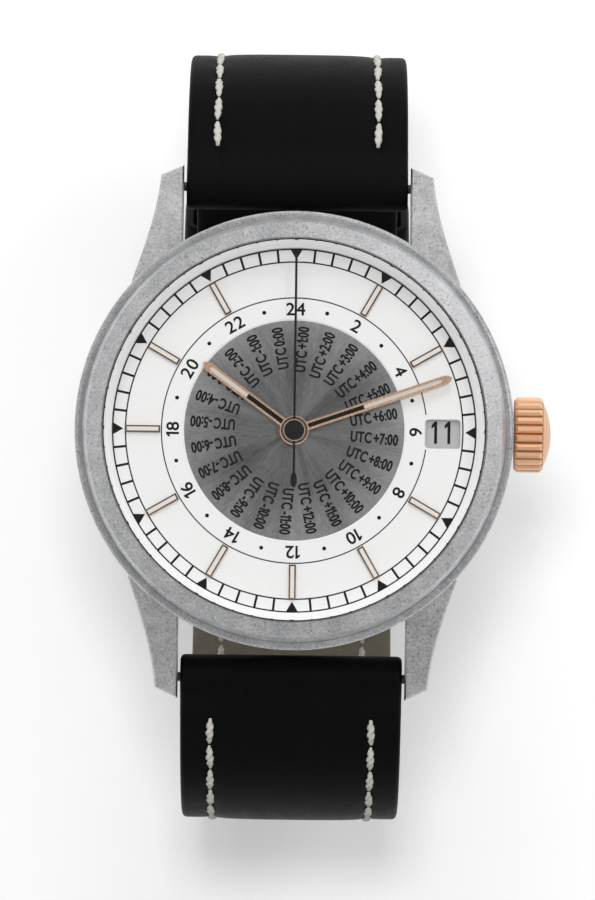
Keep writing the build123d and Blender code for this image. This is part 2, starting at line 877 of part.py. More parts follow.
# Bridges: two plates split along a line, with the balance left open
split_shares = [
    (0.1, 0.13),
    (-0.06, 0.195),
    (-0.26, 1.1),
    (-1.1, 1.1),
    (-1.1, -1.1),
    (-0.4, -1.1),
    (-0.24, -0.62),
    (0.3, -0.3),
    (0.58, -0.32),
    (0.4, 0.0),
]
split_points = [(across * bridge_radius, up * bridge_radius) for across, up in split_shares]


def split_face(gap):
    """Return the face of the train bridge's side of the split, grown by a gap."""
    with BuildSketch(Plane.XY.offset(bridge_low)) as face:
        with BuildLine():
            Polyline(split_points, close=True)
        make_face()
        if gap > 0:
            offset(amount=gap)
    return face.sketch


def spots_face(places, radius, level):
    """Return round faces at several places."""
    with BuildSketch(Plane.XY.offset(level)) as face:
        with Locations(*places):
            Circle(radius)
    return face.sketch


def finish_bridge(screw_places, jewel_places):
    """Cut the balance's opening, the screw holes and the jewel holes of the bridge being built."""
    opening = disc_face(balance_radius + 2 * loose_gap, bridge_low, balance_place)
    extrude(opening, amount=bridge_thickness, mode=Mode.SUBTRACT)
    shanks = spots_face(screw_places, screw_shank_radius + seat_gap, bridge_low)
    extrude(shanks, amount=bridge_thickness, mode=Mode.SUBTRACT)
    heads = spots_face(screw_places, screw_head_radius + seat_gap, bridge_low)
    extrude(heads, amount=screw_head_height, mode=Mode.SUBTRACT)
    jewels_face = spots_face(jewel_places, jewel_radius, bridge_low)
    extrude(jewels_face, amount=bridge_thickness, mode=Mode.SUBTRACT)


def click_face(gap):
    """Return the click's outline, grown by a gap: a round body and a beak towards the ratchet wheel."""
    beak_reach = click_distance - ratchet_radius - click_gap
    with BuildSketch(arm_plane(click_place, bearing_of(click_place, barrel_place), bridge_low)) as face:
        Circle(click_radius)
        with BuildLine():
            Polyline((0, click_radius / 2), (beak_reach, 0), (0, -click_radius / 2), close=True)
        make_face()
        if gap > 0:
            offset(amount=gap)
    return face.sketch


with BuildPart() as train_bridge:
    extrude(disc_face(bridge_radius, bridge_low), amount=bridge_thickness)
    extrude(split_face(0), amount=bridge_thickness, mode=Mode.INTERSECT)
    finish_bridge(train_pillars, train_pivots)
    extrude(
        disc_face(arbor_radius + running_gap, train_low - bridge_thickness / 2),
        amount=bridge_thickness / 2,
        mode=Mode.SUBTRACT,
    )
pieces["train_bridge"] = train_bridge

with BuildPart() as barrel_bridge:
    extrude(disc_face(bridge_radius, bridge_low), amount=bridge_thickness)
    extrude(split_face(bridge_split_gap), amount=bridge_thickness, mode=Mode.SUBTRACT)
    with BuildSketch(Plane.XY.offset(bridge_low)):
        Rectangle(4 * bridge_radius, 2 * bridge_radius, align=(Align.CENTER, Align.MAX))
        with Locations(crown_wheel_place):
            Circle(crown_wheel_radius + pillar_radius, mode=Mode.SUBTRACT)
        with Locations(barrel_pillars[1]):
            Circle(pillar_radius + bridge_split_gap, mode=Mode.SUBTRACT)
    extrude(amount=bridge_thickness, mode=Mode.SUBTRACT)
    finish_bridge(barrel_pillars, [second_place])
    with BuildSketch(Plane.XY.offset(bridge_low)):
        with Locations(barrel_place):
            Circle(ratchet_radius + keyless_gap)
        with Locations(crown_wheel_place):
            Circle(crown_wheel_radius + keyless_gap)
    extrude(amount=keyless_thickness + keyless_gap, mode=Mode.SUBTRACT)
    extrude(click_face(keyless_gap), amount=keyless_thickness, mode=Mode.SUBTRACT)
    tube_hole = disc_face(contrate_outer + running_gap, bridge_low, crown_wheel_place)
    extrude(tube_hole, amount=bridge_thickness, mode=Mode.SUBTRACT)
    arbor_hole = disc_face(barrel_arbor_radius + running_gap, bridge_low, barrel_place)
    extrude(arbor_hole, amount=bridge_thickness, mode=Mode.SUBTRACT)
pieces["barrel_bridge"] = barrel_bridge

# Balance cock: one arm from its foot on the mainplate to the balance, with a stud for the hairspring
cock_bearing = bearing_of(balance_place, cock_foot_place)
cock_reach = hypot(cock_foot_place[0] - balance_place[0], cock_foot_place[1] - balance_place[1])
hairspring_end = hairspring_start + hairspring_turns * hairspring_pitch
stud_step = polar(hairspring_end + hairspring_thickness / 2, cock_bearing)
stud_place = (balance_place[0] + stud_step[0], balance_place[1] + stud_step[1])


with BuildPart() as balance_cock:
    with BuildSketch(arm_plane(balance_place, cock_bearing, bridge_low)):
        Rectangle(cock_reach, cock_width, align=(Align.MIN, Align.CENTER))
        Circle(cock_width / 2)
        with Locations((cock_reach, 0)):
            Circle(cock_foot_radius)
    extrude(amount=cock_thickness)
    extrude(disc_face(cock_foot_radius, bridge_low, cock_foot_place), amount=plate_low - bridge_low)
    stud_height = hairspring_level + hairspring_height - cock_thickness
    extrude(disc_face(stud_radius, bridge_low + cock_thickness, stud_place), amount=stud_height)
    extrude(disc_face(jewel_radius, bridge_low, balance_place), amount=cock_thickness, mode=Mode.SUBTRACT)
    foot_hole = disc_face(screw_shank_radius + seat_gap, bridge_low, cock_foot_place)
    extrude(foot_hole, amount=bridge_thickness + screw_bite + loose_gap, mode=Mode.SUBTRACT)
    spring_reach = hairspring_end + hairspring_thickness
    spring_room = disc_face(spring_reach, bridge_low + hairspring_level, balance_place)
    extrude(spring_room, amount=hairspring_height, mode=Mode.SUBTRACT)
pieces["balance_cock"] = balance_cock

# Hairspring: a flat spiral whose outer end meets the stud
with BuildPart() as hairspring:
    spring_plane = arm_plane(balance_place, cock_bearing + 180, bridge_low + hairspring_level)
    extrude(
        spiral_face(hairspring_start, hairspring_pitch, hairspring_turns, hairspring_thickness, spring_plane),
        amount=hairspring_height,
    )
pieces["hairspring"] = hairspring

# Pallet bridge: a strip across the fork's arbor on two feet
pallet_bridge_low = train_low - pallet_bridge_thickness
with BuildPart() as pallet_bridge:
    with BuildSketch(arm_plane(pallet_place, pallet_bearing + 90, pallet_bridge_low)):
        Rectangle(2 * pallet_foot_distance, 2 * pallet_foot_radius)
        with Locations((pallet_foot_distance, 0), (-pallet_foot_distance, 0)):
            Circle(pallet_foot_radius)
    extrude(amount=pallet_bridge_thickness)
    with BuildSketch(arm_plane(pallet_place, pallet_bearing + 90, train_low)):
        with Locations((pallet_foot_distance, 0), (-pallet_foot_distance, 0)):
            Circle(pallet_foot_radius)
    extrude(amount=train_space)
    jewel_hole = disc_face(jewel_radius, pallet_bridge_low, pallet_place)
    extrude(jewel_hole, amount=pallet_bridge_thickness, mode=Mode.SUBTRACT)
pieces["pallet_bridge"] = pallet_bridge

# Bridge screws, one for each pillar and one for the cock's foot
screw_places = [*train_pillars, *barrel_pillars, cock_foot_place]
with BuildPart() as bridge_screws:
    extrude(
        spots_face([*train_pillars, *barrel_pillars], screw_head_radius, bridge_low),
        amount=screw_head_height,
    )
    cock_head = disc_face(screw_head_radius, bridge_low, cock_foot_place)
    extrude(cock_head, amount=-bridge_gap / 2)
    extrude(
        spots_face(screw_places, screw_shank_radius, bridge_low),
        amount=bridge_thickness + screw_bite,
    )
    slot_low = bridge_low - bridge_gap / 2
    with BuildSketch(Plane.XY.offset(slot_low)):
        with Locations(*screw_places):
            Rectangle(2 * screw_head_radius + loose_gap, screw_slot_width)
    extrude(amount=bridge_gap / 2 + screw_slot_depth, mode=Mode.SUBTRACT)
pieces["bridge_screws"] = bridge_screws

# Jewels: a ring in each bearing hole
jewel_seats = [
    (third_place, bridge_low, jewel_thickness),
    (second_place, bridge_low, jewel_thickness),
    (escape_place, bridge_low, jewel_thickness),
    (balance_place, bridge_low, cock_thickness),
    (pallet_place, pallet_bridge_low, pallet_bridge_thickness),
]
with BuildPart() as jewels:
    for place, level, thickness in jewel_seats:
        extrude(disc_face(jewel_radius, level, place), amount=thickness)
        bore = disc_face(arbor_radius + running_gap, level, place)
        extrude(bore, amount=thickness, mode=Mode.SUBTRACT)
pieces["jewels"] = jewels

# Click: a beaked lever that stands just clear of the ratchet wheel's teeth
with BuildPart() as click:
    extrude(click_face(0), amount=keyless_thickness)
    with BuildSketch(Plane.XY.offset(bridge_low)):
        with Locations(click_place):
            Rectangle(2 * click_radius + loose_gap, screw_slot_width)
    extrude(amount=screw_slot_depth, mode=Mode.SUBTRACT)
pieces["click"] = click

# Date jumper: a blade on a foot, with a nose that points between two of the date disc's teeth
jumper_low = plate_top + date_seat_height + seat_gap
with BuildPart() as date_jumper:
    nose_reach = date_disc_inner - date_tooth_height - click_gap
    with BuildSketch(Plane.XY.offset(jumper_low).rotated((0, 0, jumper_bearing))):
        with Locations((nose_reach - jumper_length, 0)):
            Circle(jumper_width)
        with BuildLine():
            Polyline(
                (nose_reach - jumper_length, jumper_width),
                (nose_reach, 0),
                (nose_reach - jumper_length, -jumper_width),
                close=True,
            )
        make_face()
    extrude(amount=date_disc_thickness)
    jumper_foot = polar(nose_reach - jumper_length, jumper_bearing)
    extrude(disc_face(jumper_width, plate_top, jumper_foot), amount=jumper_low - plate_top)
pieces["date_jumper"] = date_jumper

# Rotor bearing: a flanged post on the middle of the train bridge
rotor_plate_low = rotor_low + rotor_plate_rise
with BuildPart() as rotor_bearing:
    post_low = rotor_plate_low - rotor_cap_height - seat_gap
    extrude(disc_face(rotor_post_radius, post_low), amount=bridge_low - post_low)
    extrude(disc_face(rotor_post_radius + rotor_flange, post_low), amount=rotor_cap_height)
    extrude(disc_face(rotor_post_radius + rotor_flange, bridge_low), amount=-bridge_gap)
    with BuildSketch(Plane.XY.offset(post_low)):
        Rectangle(rotor_post_radius, 2 * screw_slot_width)
    extrude(amount=screw_slot_depth, mode=Mode.SUBTRACT)
pieces["rotor_bearing"] = rotor_bearing

# Rotor: a skeleton plate and a half ring of dense metal at its edge
with BuildPart() as rotor_plate:
    with BuildSketch(Plane.XY.offset(rotor_plate_low)):
        Circle(rotor_weight_inner)
        Circle(rotor_weight_inner - rotor_rim_width, mode=Mode.SUBTRACT)
        Rectangle(2 * rotor_radius, rotor_radius, align=(Align.CENTER, Align.MIN), mode=Mode.SUBTRACT)
        Circle(rotor_hub_radius)
        for bearing in rotor_spoke_bearings:
            with Locations(Rot(0, 0, bearing) * Pos(rotor_weight_inner / 2, 0)):
                Rectangle(rotor_weight_inner - rotor_rim_width, rotor_spoke_width)
        Circle(rotor_post_radius + running_gap, mode=Mode.SUBTRACT)
    extrude(amount=rotor_plate_thickness)
pieces["rotor_plate"] = rotor_plate

with BuildPart() as rotor_weight:
    with BuildSketch(Plane.XY.offset(rotor_low)):
        Circle(rotor_radius)
        Circle(rotor_weight_inner, mode=Mode.SUBTRACT)
        Rectangle(2 * rotor_radius, rotor_radius, align=(Align.CENTER, Align.MIN), mode=Mode.SUBTRACT)
    extrude(amount=rotor_weight_height)
    low_edges = rotor_weight.faces().sort_by(Axis.Z)[0].edges()
    outer_edges = low_edges.filter_by(GeomType.CIRCLE).sort_by(SortBy.RADIUS)
    chamfer(outer_edges[-1], rotor_weight_chamfer)
pieces["rotor_weight"] = rotor_weight

# Phases of the meshing wheels, so that each tooth meets a gap
second_pinion_phase = 0
barrel_phase = partner_phase(
    second_pinion_teeth, second_pinion_phase, bearing_of(second_place, barrel_place), barrel_teeth
)
third_pinion_phase = partner_phase(
    second_teeth, second_pinion_phase, bearing_of(second_place, third_place), third_pinion_teeth
)
fourth_bearing = bearing_of(third_place, centre_place)
fourth_pinion_phase = partner_phase(third_teeth, 0, fourth_bearing, fourth_pinion_teeth)
escape_pinion_phase = partner_phase(fourth_teeth, 0, escape_bearing, escape_pinion_teeth)
minute_bearing = bearing_of(centre_place, minute_place)
minute_wheel_phase = partner_phase(cannon_teeth, 0, minute_bearing, minute_wheel_teeth)
driver_phase = partner_phase(
    minute_wheel_teeth, minute_wheel_phase, bearing_of(minute_place, second_place), cannon_teeth
)
hour_phase = partner_phase(minute_pinion_teeth, 0, bearing_of(minute_place, centre_place), hour_teeth)
day_phase = partner_phase(minute_pinion_teeth, 0, bearing_of(minute_place, centre_place), day_teeth)
ratchet_bearing = bearing_of(crown_wheel_place, barrel_place)
ratchet_phase = partner_phase(crown_wheel_teeth, 0, ratchet_bearing, ratchet_teeth)


def add_arbor(place, low, high, radius=arbor_radius):
    """Add a round arbor between two heights to the piece being built."""
    extrude(disc_face(radius, low, place), amount=high - low)


def add_wheel(teeth, module, place, phase, level, thickness):
    """Add a toothed wheel with arms, a rim and a hub to the piece being built."""
    extrude(gear_face(teeth, module, place, phase, level), amount=thickness)
    rim = teeth * module / 2 - dedendum_share * module - wheel_rim_width
    windows = wheel_windows(wheel_hub_radius, rim, place, level)
    extrude(windows, amount=thickness, mode=Mode.SUBTRACT)


def add_pinion(teeth, module, place, phase, level, height):
    """Add a small solid pinion to the piece being built."""
    extrude(gear_face(teeth, module, place, phase, level), amount=height)


level_low = train_low + low_level
level_middle = train_low + middle_level
level_high = train_low + high_level
pinion_lead = (pinion_height - wheel_thickness) / 2
motion_low = plate_top + motion_gap
motion_middle = motion_low + motion_step
motion_high = motion_middle + motion_step
plate_bite = plate_low + mainplate_thickness / 2
jewel_floor = bridge_low + running_gap

# Second wheel: driven by the barrel, it drives the third pinion and, through the mainplate, the motion work
with BuildPart() as second_wheel:
    add_wheel(second_teeth, second_module, second_place, second_pinion_phase, level_high, wheel_thickness)
    barrel_tooth_low = train_low + barrel_low_gap + barrel_tooth_level
    add_pinion(
        second_pinion_teeth,
        barrel_module,
        second_place,
        second_pinion_phase,
        barrel_tooth_low - pinion_lead,
        barrel_tooth_height + 2 * pinion_lead,
    )
    add_arbor(second_place, jewel_floor, motion_low + motion_wheel_thickness)
    add_pinion(cannon_teeth, motion_module, second_place, driver_phase, motion_low, motion_wheel_thickness)
pieces["second_wheel"] = second_wheel

# Third wheel
with BuildPart() as third_wheel:
    add_wheel(third_teeth, third_module, third_place, 0, level_low, wheel_thickness)
    add_pinion(
        third_pinion_teeth,
        second_module,
        third_place,
        third_pinion_phase,
        level_high - pinion_lead,
        pinion_height,
    )
    add_arbor(third_place, jewel_floor, plate_bite)
pieces["third_wheel"] = third_wheel

# Fourth wheel: in the centre, its long arbor passes the mainplate's tube and carries the seconds hand
seconds_low = dial_top + hour_hand_lift + 2 * (hand_thickness + hand_gap)
with BuildPart() as fourth_wheel:
    add_wheel(fourth_teeth, fourth_module, centre_place, 0, level_middle, wheel_thickness)
    add_pinion(
        fourth_pinion_teeth,
        third_module,
        centre_place,
        fourth_pinion_phase,
        level_low - pinion_lead,
        pinion_height,
    )
    add_arbor(centre_place, train_low - bridge_thickness / 2 + running_gap, seconds_low + seconds_thickness)
pieces["fourth_wheel"] = fourth_wheel

# Escape wheel: pointed teeth and a pinion
with BuildPart() as escape_wheel:
    with BuildSketch(Plane.XY.offset(level_low)):
        with BuildLine():
            escape_corners = toothed_outline(
                escape_teeth, escape_radius - escape_depth, escape_radius, escape_place, 0, *escape_shares
            )
            Polyline(escape_corners, close=True)
        make_face()
    extrude(amount=wheel_thickness)
    escape_rim = escape_radius - escape_depth - wheel_arm_width
    windows = wheel_windows(wheel_hub_radius, escape_rim, escape_place, level_low)
    extrude(windows, amount=wheel_thickness, mode=Mode.SUBTRACT)
    add_pinion(
        escape_pinion_teeth,
        fourth_module,
        escape_place,
        escape_pinion_phase,
        level_middle - pinion_lead,
        pinion_height,
    )
    add_arbor(escape_place, jewel_floor, plate_bite)
pieces["escape_wheel"] = escape_wheel

# Pallet fork: two arms astride the escape wheel and a lever that reaches to the impulse pin's path
pallet_reach = hypot(balance_place[0] - pallet_place[0], balance_place[1] - pallet_place[1])
lever_length = pallet_reach - impulse_pin_place - impulse_pin_radius - pallet_fork_gap
stone_radius = escape_radius + pallet_clearance
stone_across = stone_radius * sin(radians(pallet_half_span))
stone_back = pallet_distance - stone_radius * cos(radians(pallet_half_span))
with BuildPart() as pallet_fork:
    with BuildSketch(arm_plane(pallet_place, pallet_bearing, level_low)):
        Circle(pallet_body_width)
        Rectangle(lever_length, lever_width, align=(Align.MIN, Align.CENTER))
        with Locations((lever_length, 0)):
            Rectangle(2 * lever_width, 2 * lever_width, align=(Align.MAX, Align.CENTER))
            lever_fork = (Align.MAX, Align.CENTER)
            Rectangle(lever_width, 3 * impulse_pin_radius, align=lever_fork, mode=Mode.SUBTRACT)
        for side in (1, -1):
            with BuildLine():
                Polyline(
                    (0, side * pallet_body_width),
                    (-stone_back, side * stone_across),
                    (-stone_back + lever_width, side * (stone_across + lever_width)),
                    (pallet_body_width, 0),
                    (0, 0),
                    close=True,
                )
            make_face()
    extrude(amount=wheel_thickness)
    add_arbor(pallet_place, pallet_bridge_low + running_gap, plate_bite)
pieces["pallet_fork"] = pallet_fork

# Balance: a heavy rim with two arms, its staff, collet and impulse roller
balance_low = bridge_low + balance_level
with BuildPart() as balance_wheel:
    with BuildSketch(Plane.XY.offset(balance_low)):
        with Locations(balance_place):
            Circle(balance_radius)
            Circle(balance_radius - balance_rim_width, mode=Mode.SUBTRACT)
            Rectangle(2 * balance_radius - balance_rim_width, balance_rim_width)
            Circle(2 * balance_rim_width)
    extrude(amount=balance_thickness)
    add_arbor(balance_place, jewel_floor, plate_bite)
    collet_low = bridge_low + cock_thickness + running_gap
    add_arbor(balance_place, collet_low, balance_low, hairspring_start - 3 * running_gap)
    add_arbor(balance_place, train_low, train_low + roller_thickness, roller_radius)
    pin_step = polar(impulse_pin_place, pallet_bearing + 180)
    pin_place = (balance_place[0] + pin_step[0], balance_place[1] + pin_step[1])
    add_arbor(pin_place, train_low, level_low + wheel_thickness, impulse_pin_radius)
pieces["balance_wheel"] = balance_wheel

# Barrel: a toothed drum with its lid, round the arbor
drum_low = train_low + barrel_low_gap
drum_radius = barrel_teeth * barrel_module / 2 - dedendum_share * barrel_module
drum_inner = drum_radius - barrel_wall
with BuildPart() as barrel:
    extrude(disc_face(drum_radius, drum_low, barrel_place), amount=barrel_height)
    add_pinion(barrel_teeth, barrel_module, barrel_place, barrel_phase, barrel_tooth_low, barrel_tooth_height)
    drum_room = disc_face(drum_inner, drum_low, barrel_place)
    extrude(drum_room, amount=barrel_height - barrel_wall, mode=Mode.SUBTRACT)
    extrude(drum_room, amount=barrel_wall)
    arbor_room = disc_face(barrel_arbor_radius + running_gap, drum_low, barrel_place)
    extrude(arbor_room, amount=barrel_height, mode=Mode.SUBTRACT)
pieces["barrel"] = barrel

# Mainspring: a strip coiled in the drum, its last turn against the wall
spring_low = drum_low + barrel_wall + running_gap
spring_height = barrel_height - 2 * barrel_wall - 2 * running_gap
spring_pitch = (drum_inner - spring_start - spring_thickness) / spring_turns
with BuildPart() as mainspring:
    spring_plane = arm_plane(barrel_place, barrel_bearing, spring_low)
    coil = spiral_face(spring_start, spring_pitch, spring_turns, spring_thickness, spring_plane)
    extrude(coil, amount=spring_height)
pieces["mainspring"] = mainspring

# Ratchet wheel on the barrel's arbor, and the crown wheel that turns it
with BuildPart() as ratchet_wheel:
    add_pinion(ratchet_teeth, keyless_module, barrel_place, ratchet_phase, bridge_low, keyless_thickness)
    add_arbor(barrel_place, bridge_low, plate_low - barrel_low_gap, barrel_arbor_radius)
    add_arbor(barrel_place, bridge_low, plate_bite - running_gap, barrel_arbor_radius / 2)
    square_side = barrel_arbor_radius
    with BuildSketch(Plane.XY.offset(bridge_low)):
        with Locations(barrel_place):
            Rectangle(square_side, square_side)
    extrude(amount=screw_slot_depth, mode=Mode.SUBTRACT)
pieces["ratchet_wheel"] = ratchet_wheel

with BuildPart() as crown_wheel:
    add_pinion(crown_wheel_teeth, keyless_module, crown_wheel_place, 0, bridge_low, keyless_thickness)
    contrate_top = stem_height - stem_pinion_radius - running_gap
    with BuildSketch(Plane.XY.offset(bridge_low)):
        with Locations(crown_wheel_place):
            Circle(contrate_outer)
            Circle(contrate_outer - contrate_width, mode=Mode.SUBTRACT)
    extrude(amount=contrate_top - bridge_low)
    with BuildSketch(Plane.XY.offset(contrate_top - contrate_tooth_height)):
        with Locations(crown_wheel_place):
            with PolarLocations(contrate_radius, contrate_teeth):
                Rectangle(2 * contrate_width, pi * contrate_radius / contrate_teeth)
    extrude(amount=overrun, mode=Mode.SUBTRACT)
pieces["crown_wheel"] = crown_wheel

# Motion work: the cannon pinion, the minute wheel, the hour wheel and the day wheel that carries the disc
hour_hand_low = dial_top + hour_hand_lift
minute_hand_low = hour_hand_low + hand_thickness + hand_gap
with BuildPart() as cannon_pinion:
    add_pinion(cannon_teeth, motion_module, centre_place, 0, motion_low, motion_wheel_thickness)
    add_arbor(centre_place, motion_low, minute_hand_low + hand_thickness, cannon_radius)
    bore = disc_face(tube_radius + running_gap, motion_low)
    extrude(bore, amount=2 * overrun, mode=Mode.SUBTRACT)
pieces["cannon_pinion"] = cannon_pinion

hour_module = 2 * motion_distance / (minute_pinion_teeth + hour_teeth)
day_module = 2 * motion_distance / (minute_pinion_teeth + day_teeth)
pinion_gap = motion_step - motion_wheel_thickness
with BuildPart() as minute_wheel:
    add_wheel(
        minute_wheel_teeth,
        motion_module,
        minute_place,
        minute_wheel_phase,
        motion_low,
        motion_wheel_thickness,
    )
    hour_pinion_height = 2 * motion_step - pinion_gap / 2
    add_pinion(minute_pinion_teeth, hour_module, minute_place, 0, motion_low, hour_pinion_height)
    add_pinion(minute_pinion_teeth, day_module, minute_place, 0, motion_low, 3 * motion_step - pinion_gap / 2)
    bore = disc_face(minute_post_radius + running_gap, motion_low, minute_place)
    extrude(bore, amount=overrun, mode=Mode.SUBTRACT)
pieces["minute_wheel"] = minute_wheel

with BuildPart() as hour_wheel:
    add_pinion(hour_teeth, hour_module, centre_place, hour_phase, motion_middle, motion_wheel_thickness)
    add_arbor(centre_place, motion_middle, hour_hand_low + hand_thickness, hour_pipe_radius)
    bore = disc_face(cannon_radius + running_gap, motion_middle)
    extrude(bore, amount=overrun, mode=Mode.SUBTRACT)
pieces["hour_wheel"] = hour_wheel

disc_top = dial_top - disc_drop
disc_low = disc_top - disc_thickness
with BuildPart() as day_wheel:
    add_pinion(day_teeth, day_module, centre_place, day_phase, motion_high, motion_wheel_thickness)
    add_arbor(centre_place, motion_high, disc_top, day_pipe_radius)
    add_arbor(centre_place, motion_high + motion_step, disc_low, day_pipe_radius + day_flange)
    bore = disc_face(hour_pipe_radius + running_gap, motion_high)
    extrude(bore, amount=overrun, mode=Mode.SUBTRACT)
pieces["day_wheel"] = day_wheel

# Time zone disc: it turns once a day in the dial's opening
with BuildPart() as city_disc:
    extrude(disc_face(disc_radius, disc_low), amount=disc_thickness)
    extrude(disc_face(day_pipe_radius, disc_low), amount=disc_thickness, mode=Mode.SUBTRACT)
    chamfer(city_disc.faces().sort_by(Axis.Z)[-1].edges().sort_by(SortBy.RADIUS)[-1], disc_thickness / 4)
pieces["city_disc"] = city_disc

# Date disc: a ring with inner teeth, on the mainplate's seat
with BuildPart() as date_disc:
    extrude(disc_face(date_disc_outer, jumper_low), amount=date_disc_thickness)
    with BuildSketch(Plane.XY.offset(jumper_low)):
        with BuildLine():
            gap_corners = toothed_outline(
                date_teeth,
                date_disc_inner - date_tooth_height,
                date_disc_inner,
                centre_place,
                jumper_bearing,
                *date_gap_shares,
            )
            Polyline(gap_corners, close=True)
        make_face()
    extrude(amount=date_disc_thickness, mode=Mode.SUBTRACT)
pieces["date_disc"] = date_disc


def blade_points(start, width, length, tip):
    """Return the corners of a hand's blade that narrows to a point at its end, by way of a full shoulder."""
    half = width / 2
    upper = [(start, half), (length - tip, half), (length - tip / 2, 0.7 * half)]
    return upper + [(length, 0)] + [(x, -y) for x, y in reversed(upper)]


def blade_hand(level, angle, width, length, split, slot_end, pipe_radius):
    """Build one hand: a hub, a blade with two through slots, and a bore for its pipe."""
    with BuildPart() as hand:
        with BuildSketch(Plane.XY.offset(level).rotated((0, 0, angle))):
            with BuildLine():
                Polyline(blade_points(0, width, length, hand_tip_length), close=True)
            make_face()
            Circle(hub_radius)
        extrude(amount=hand_thickness)
        chamfer(hand.faces().sort_by(Axis.Z)[-1].edges(), hand_chamfer)
        with BuildSketch(Plane.XY.offset(level).rotated((0, 0, angle))):
            slot_width = width - 2 * hand_rim
            with Locations(((slot_start + split - slot_bar) / 2, 0)):
                Rectangle(split - slot_bar - slot_start, slot_width)
            with BuildLine():
                Polyline(blade_points(split, slot_width, slot_end, hand_tip_length / 2), close=True)
            make_face()
            Circle(pipe_radius)
        extrude(amount=hand_thickness, mode=Mode.SUBTRACT)
    return hand


# Hands: hour and minute with slots for their inlays, and a thin seconds hand with a leaf on its tail
pieces["hour_hand"] = blade_hand(
    hour_hand_low,
    hour_angle,
    hour_blade_width,
    hour_hand_length,
    hour_slot_split,
    hour_slot_end,
    hour_pipe_radius,
)
pieces["minute_hand"] = blade_hand(
    minute_hand_low,
    minute_angle,
    minute_blade_width,
    minute_hand_length,
    minute_slot_split,
    minute_slot_end,
    cannon_radius,
)

with BuildPart() as seconds_hand:
    with BuildSketch(Plane.XY.offset(seconds_low).rotated((0, 0, second_angle))):
        with Locations(((seconds_length - seconds_tail_length) / 2, 0)):
            Rectangle(seconds_length + seconds_tail_length, seconds_width)
        with Locations((-leaf_centre, 0)):
            Ellipse(leaf_length / 2, leaf_width / 2)
    extrude(amount=seconds_thickness)
    cap_top = seconds_low + seconds_cap_height
    revolve(
        revolved_profile(
            [
                (0, seconds_low),
                (seconds_cap_radius, seconds_low),
                (seconds_cap_radius, cap_top - cap_chamfer),
                (seconds_cap_radius - cap_chamfer, cap_top),
                (0, cap_top),
            ]
        ),
        axis=Axis.Z,
    )
    extrude(disc_face(tube_radius, seconds_low), amount=-hand_gap / 2)
    bore = disc_face(arbor_radius, seconds_low - hand_gap)
    extrude(bore, amount=hand_gap + seconds_thickness, mode=Mode.SUBTRACT)
pieces["seconds_hand"] = seconds_hand

# Crown: a fluted knob with a domed end, hollow towards the case
crown_end = crown_start + crown_length
with BuildPart() as crown:
    with BuildSketch(Plane.YZ.offset(crown_start)):
        with Locations((0, stem_height)):
            Circle(crown_radius)
    extrude(amount=crown_length)
    chamfer(crown.edges().filter_by(GeomType.CIRCLE), crown_chamfer)
    with BuildSketch(Plane.YZ.offset(crown_start)):
        with Locations((0, stem_height)):
            with PolarLocations(crown_radius, crown_flutes):
                Rectangle(flute_width, flute_width, rotation=45)
    extrude(amount=crown_length, mode=Mode.SUBTRACT)
    with BuildSketch(Plane.XZ):
        with BuildLine():
            Line((crown_end, stem_height), (crown_end + crown_dome, stem_height))
            dome_sphere = (crown_dome_radius**2 + crown_dome**2) / (2 * crown_dome)
            dome_angle = degrees(atan2(crown_dome_radius, dome_sphere - crown_dome))
            CenterArc((crown_end + crown_dome - dome_sphere, stem_height), dome_sphere, 0, dome_angle)
            Line((crown_end, stem_height + crown_dome_radius), (crown_end, stem_height))
        make_face()
    revolve(axis=Axis((0, 0, stem_height), (1, 0, 0)))
    with BuildSketch(Plane.YZ.offset(crown_start)):
        with Locations((0, stem_height)):
            Circle(crown_bore_radius)
    extrude(amount=crown_bore_depth, mode=Mode.SUBTRACT)
    with BuildSketch(Plane.YZ.offset(crown_start)):
        with Locations((0, stem_height)):
            Circle(stem_radius)
    extrude(amount=crown_bore_depth + stem_seat, mode=Mode.SUBTRACT)
pieces["crown"] = crown

# Crown gasket: a ring of round section in the crown's hollow
with BuildPart() as crown_gasket:
    with BuildSketch(Plane.XZ):
        with Locations((crown_start + gasket_place, stem_height + crown_bore_radius - gasket_wire_radius)):
            Circle(gasket_wire_radius)
    revolve(axis=Axis((0, 0, stem_height), (1, 0, 0)))
pieces["crown_gasket"] = crown_gasket


def stem_face(radius, start):
    """Return a round face about the stem's axis."""
    with BuildSketch(Plane.YZ.offset(start)) as face:
        with Locations((0, stem_height)):
            Circle(radius)
    return face.sketch


# Crown tube, winding stem and the two pinions on it
with BuildPart() as crown_tube:
    tube_length = crown_start + tube_proud - case_bore_radius
    extrude(stem_face(tube_outer_radius, case_bore_radius), amount=tube_length)
    extrude(stem_face(tube_inner_radius, case_bore_radius), amount=tube_length, mode=Mode.SUBTRACT)
pieces["crown_tube"] = crown_tube

with BuildPart() as winding_stem:
    stem_outer_end = crown_start + crown_bore_depth + stem_seat
    extrude(stem_face(stem_radius, stem_pilot_start), amount=stem_outer_end - stem_pilot_start)
    extrude(stem_face(stem_pilot_radius, stem_end), amount=stem_pilot_start - stem_end)
pieces["winding_stem"] = winding_stem

with BuildPart() as stem_pinions:
    for start, length in (
        (winding_pinion_start, winding_pinion_length),
        (sliding_pinion_start, sliding_pinion_length),
    ):
        with BuildSketch(Plane.YZ.offset(start)):
            with BuildLine():
                pinion_corners = toothed_outline(
                    stem_pinion_teeth,
                    stem_pinion_radius - contrate_tooth_height,
                    stem_pinion_radius,
                    (0, stem_height),
                    0,
                )
                Polyline(pinion_corners, close=True)
            make_face()
        extrude(amount=length)
    extrude(
        stem_face(stem_radius + 2 * running_gap, sliding_pinion_start),
        amount=winding_pinion_start + winding_pinion_length - sliding_pinion_start,
        mode=Mode.SUBTRACT,
    )
pieces["stem_pinions"] = stem_pinions

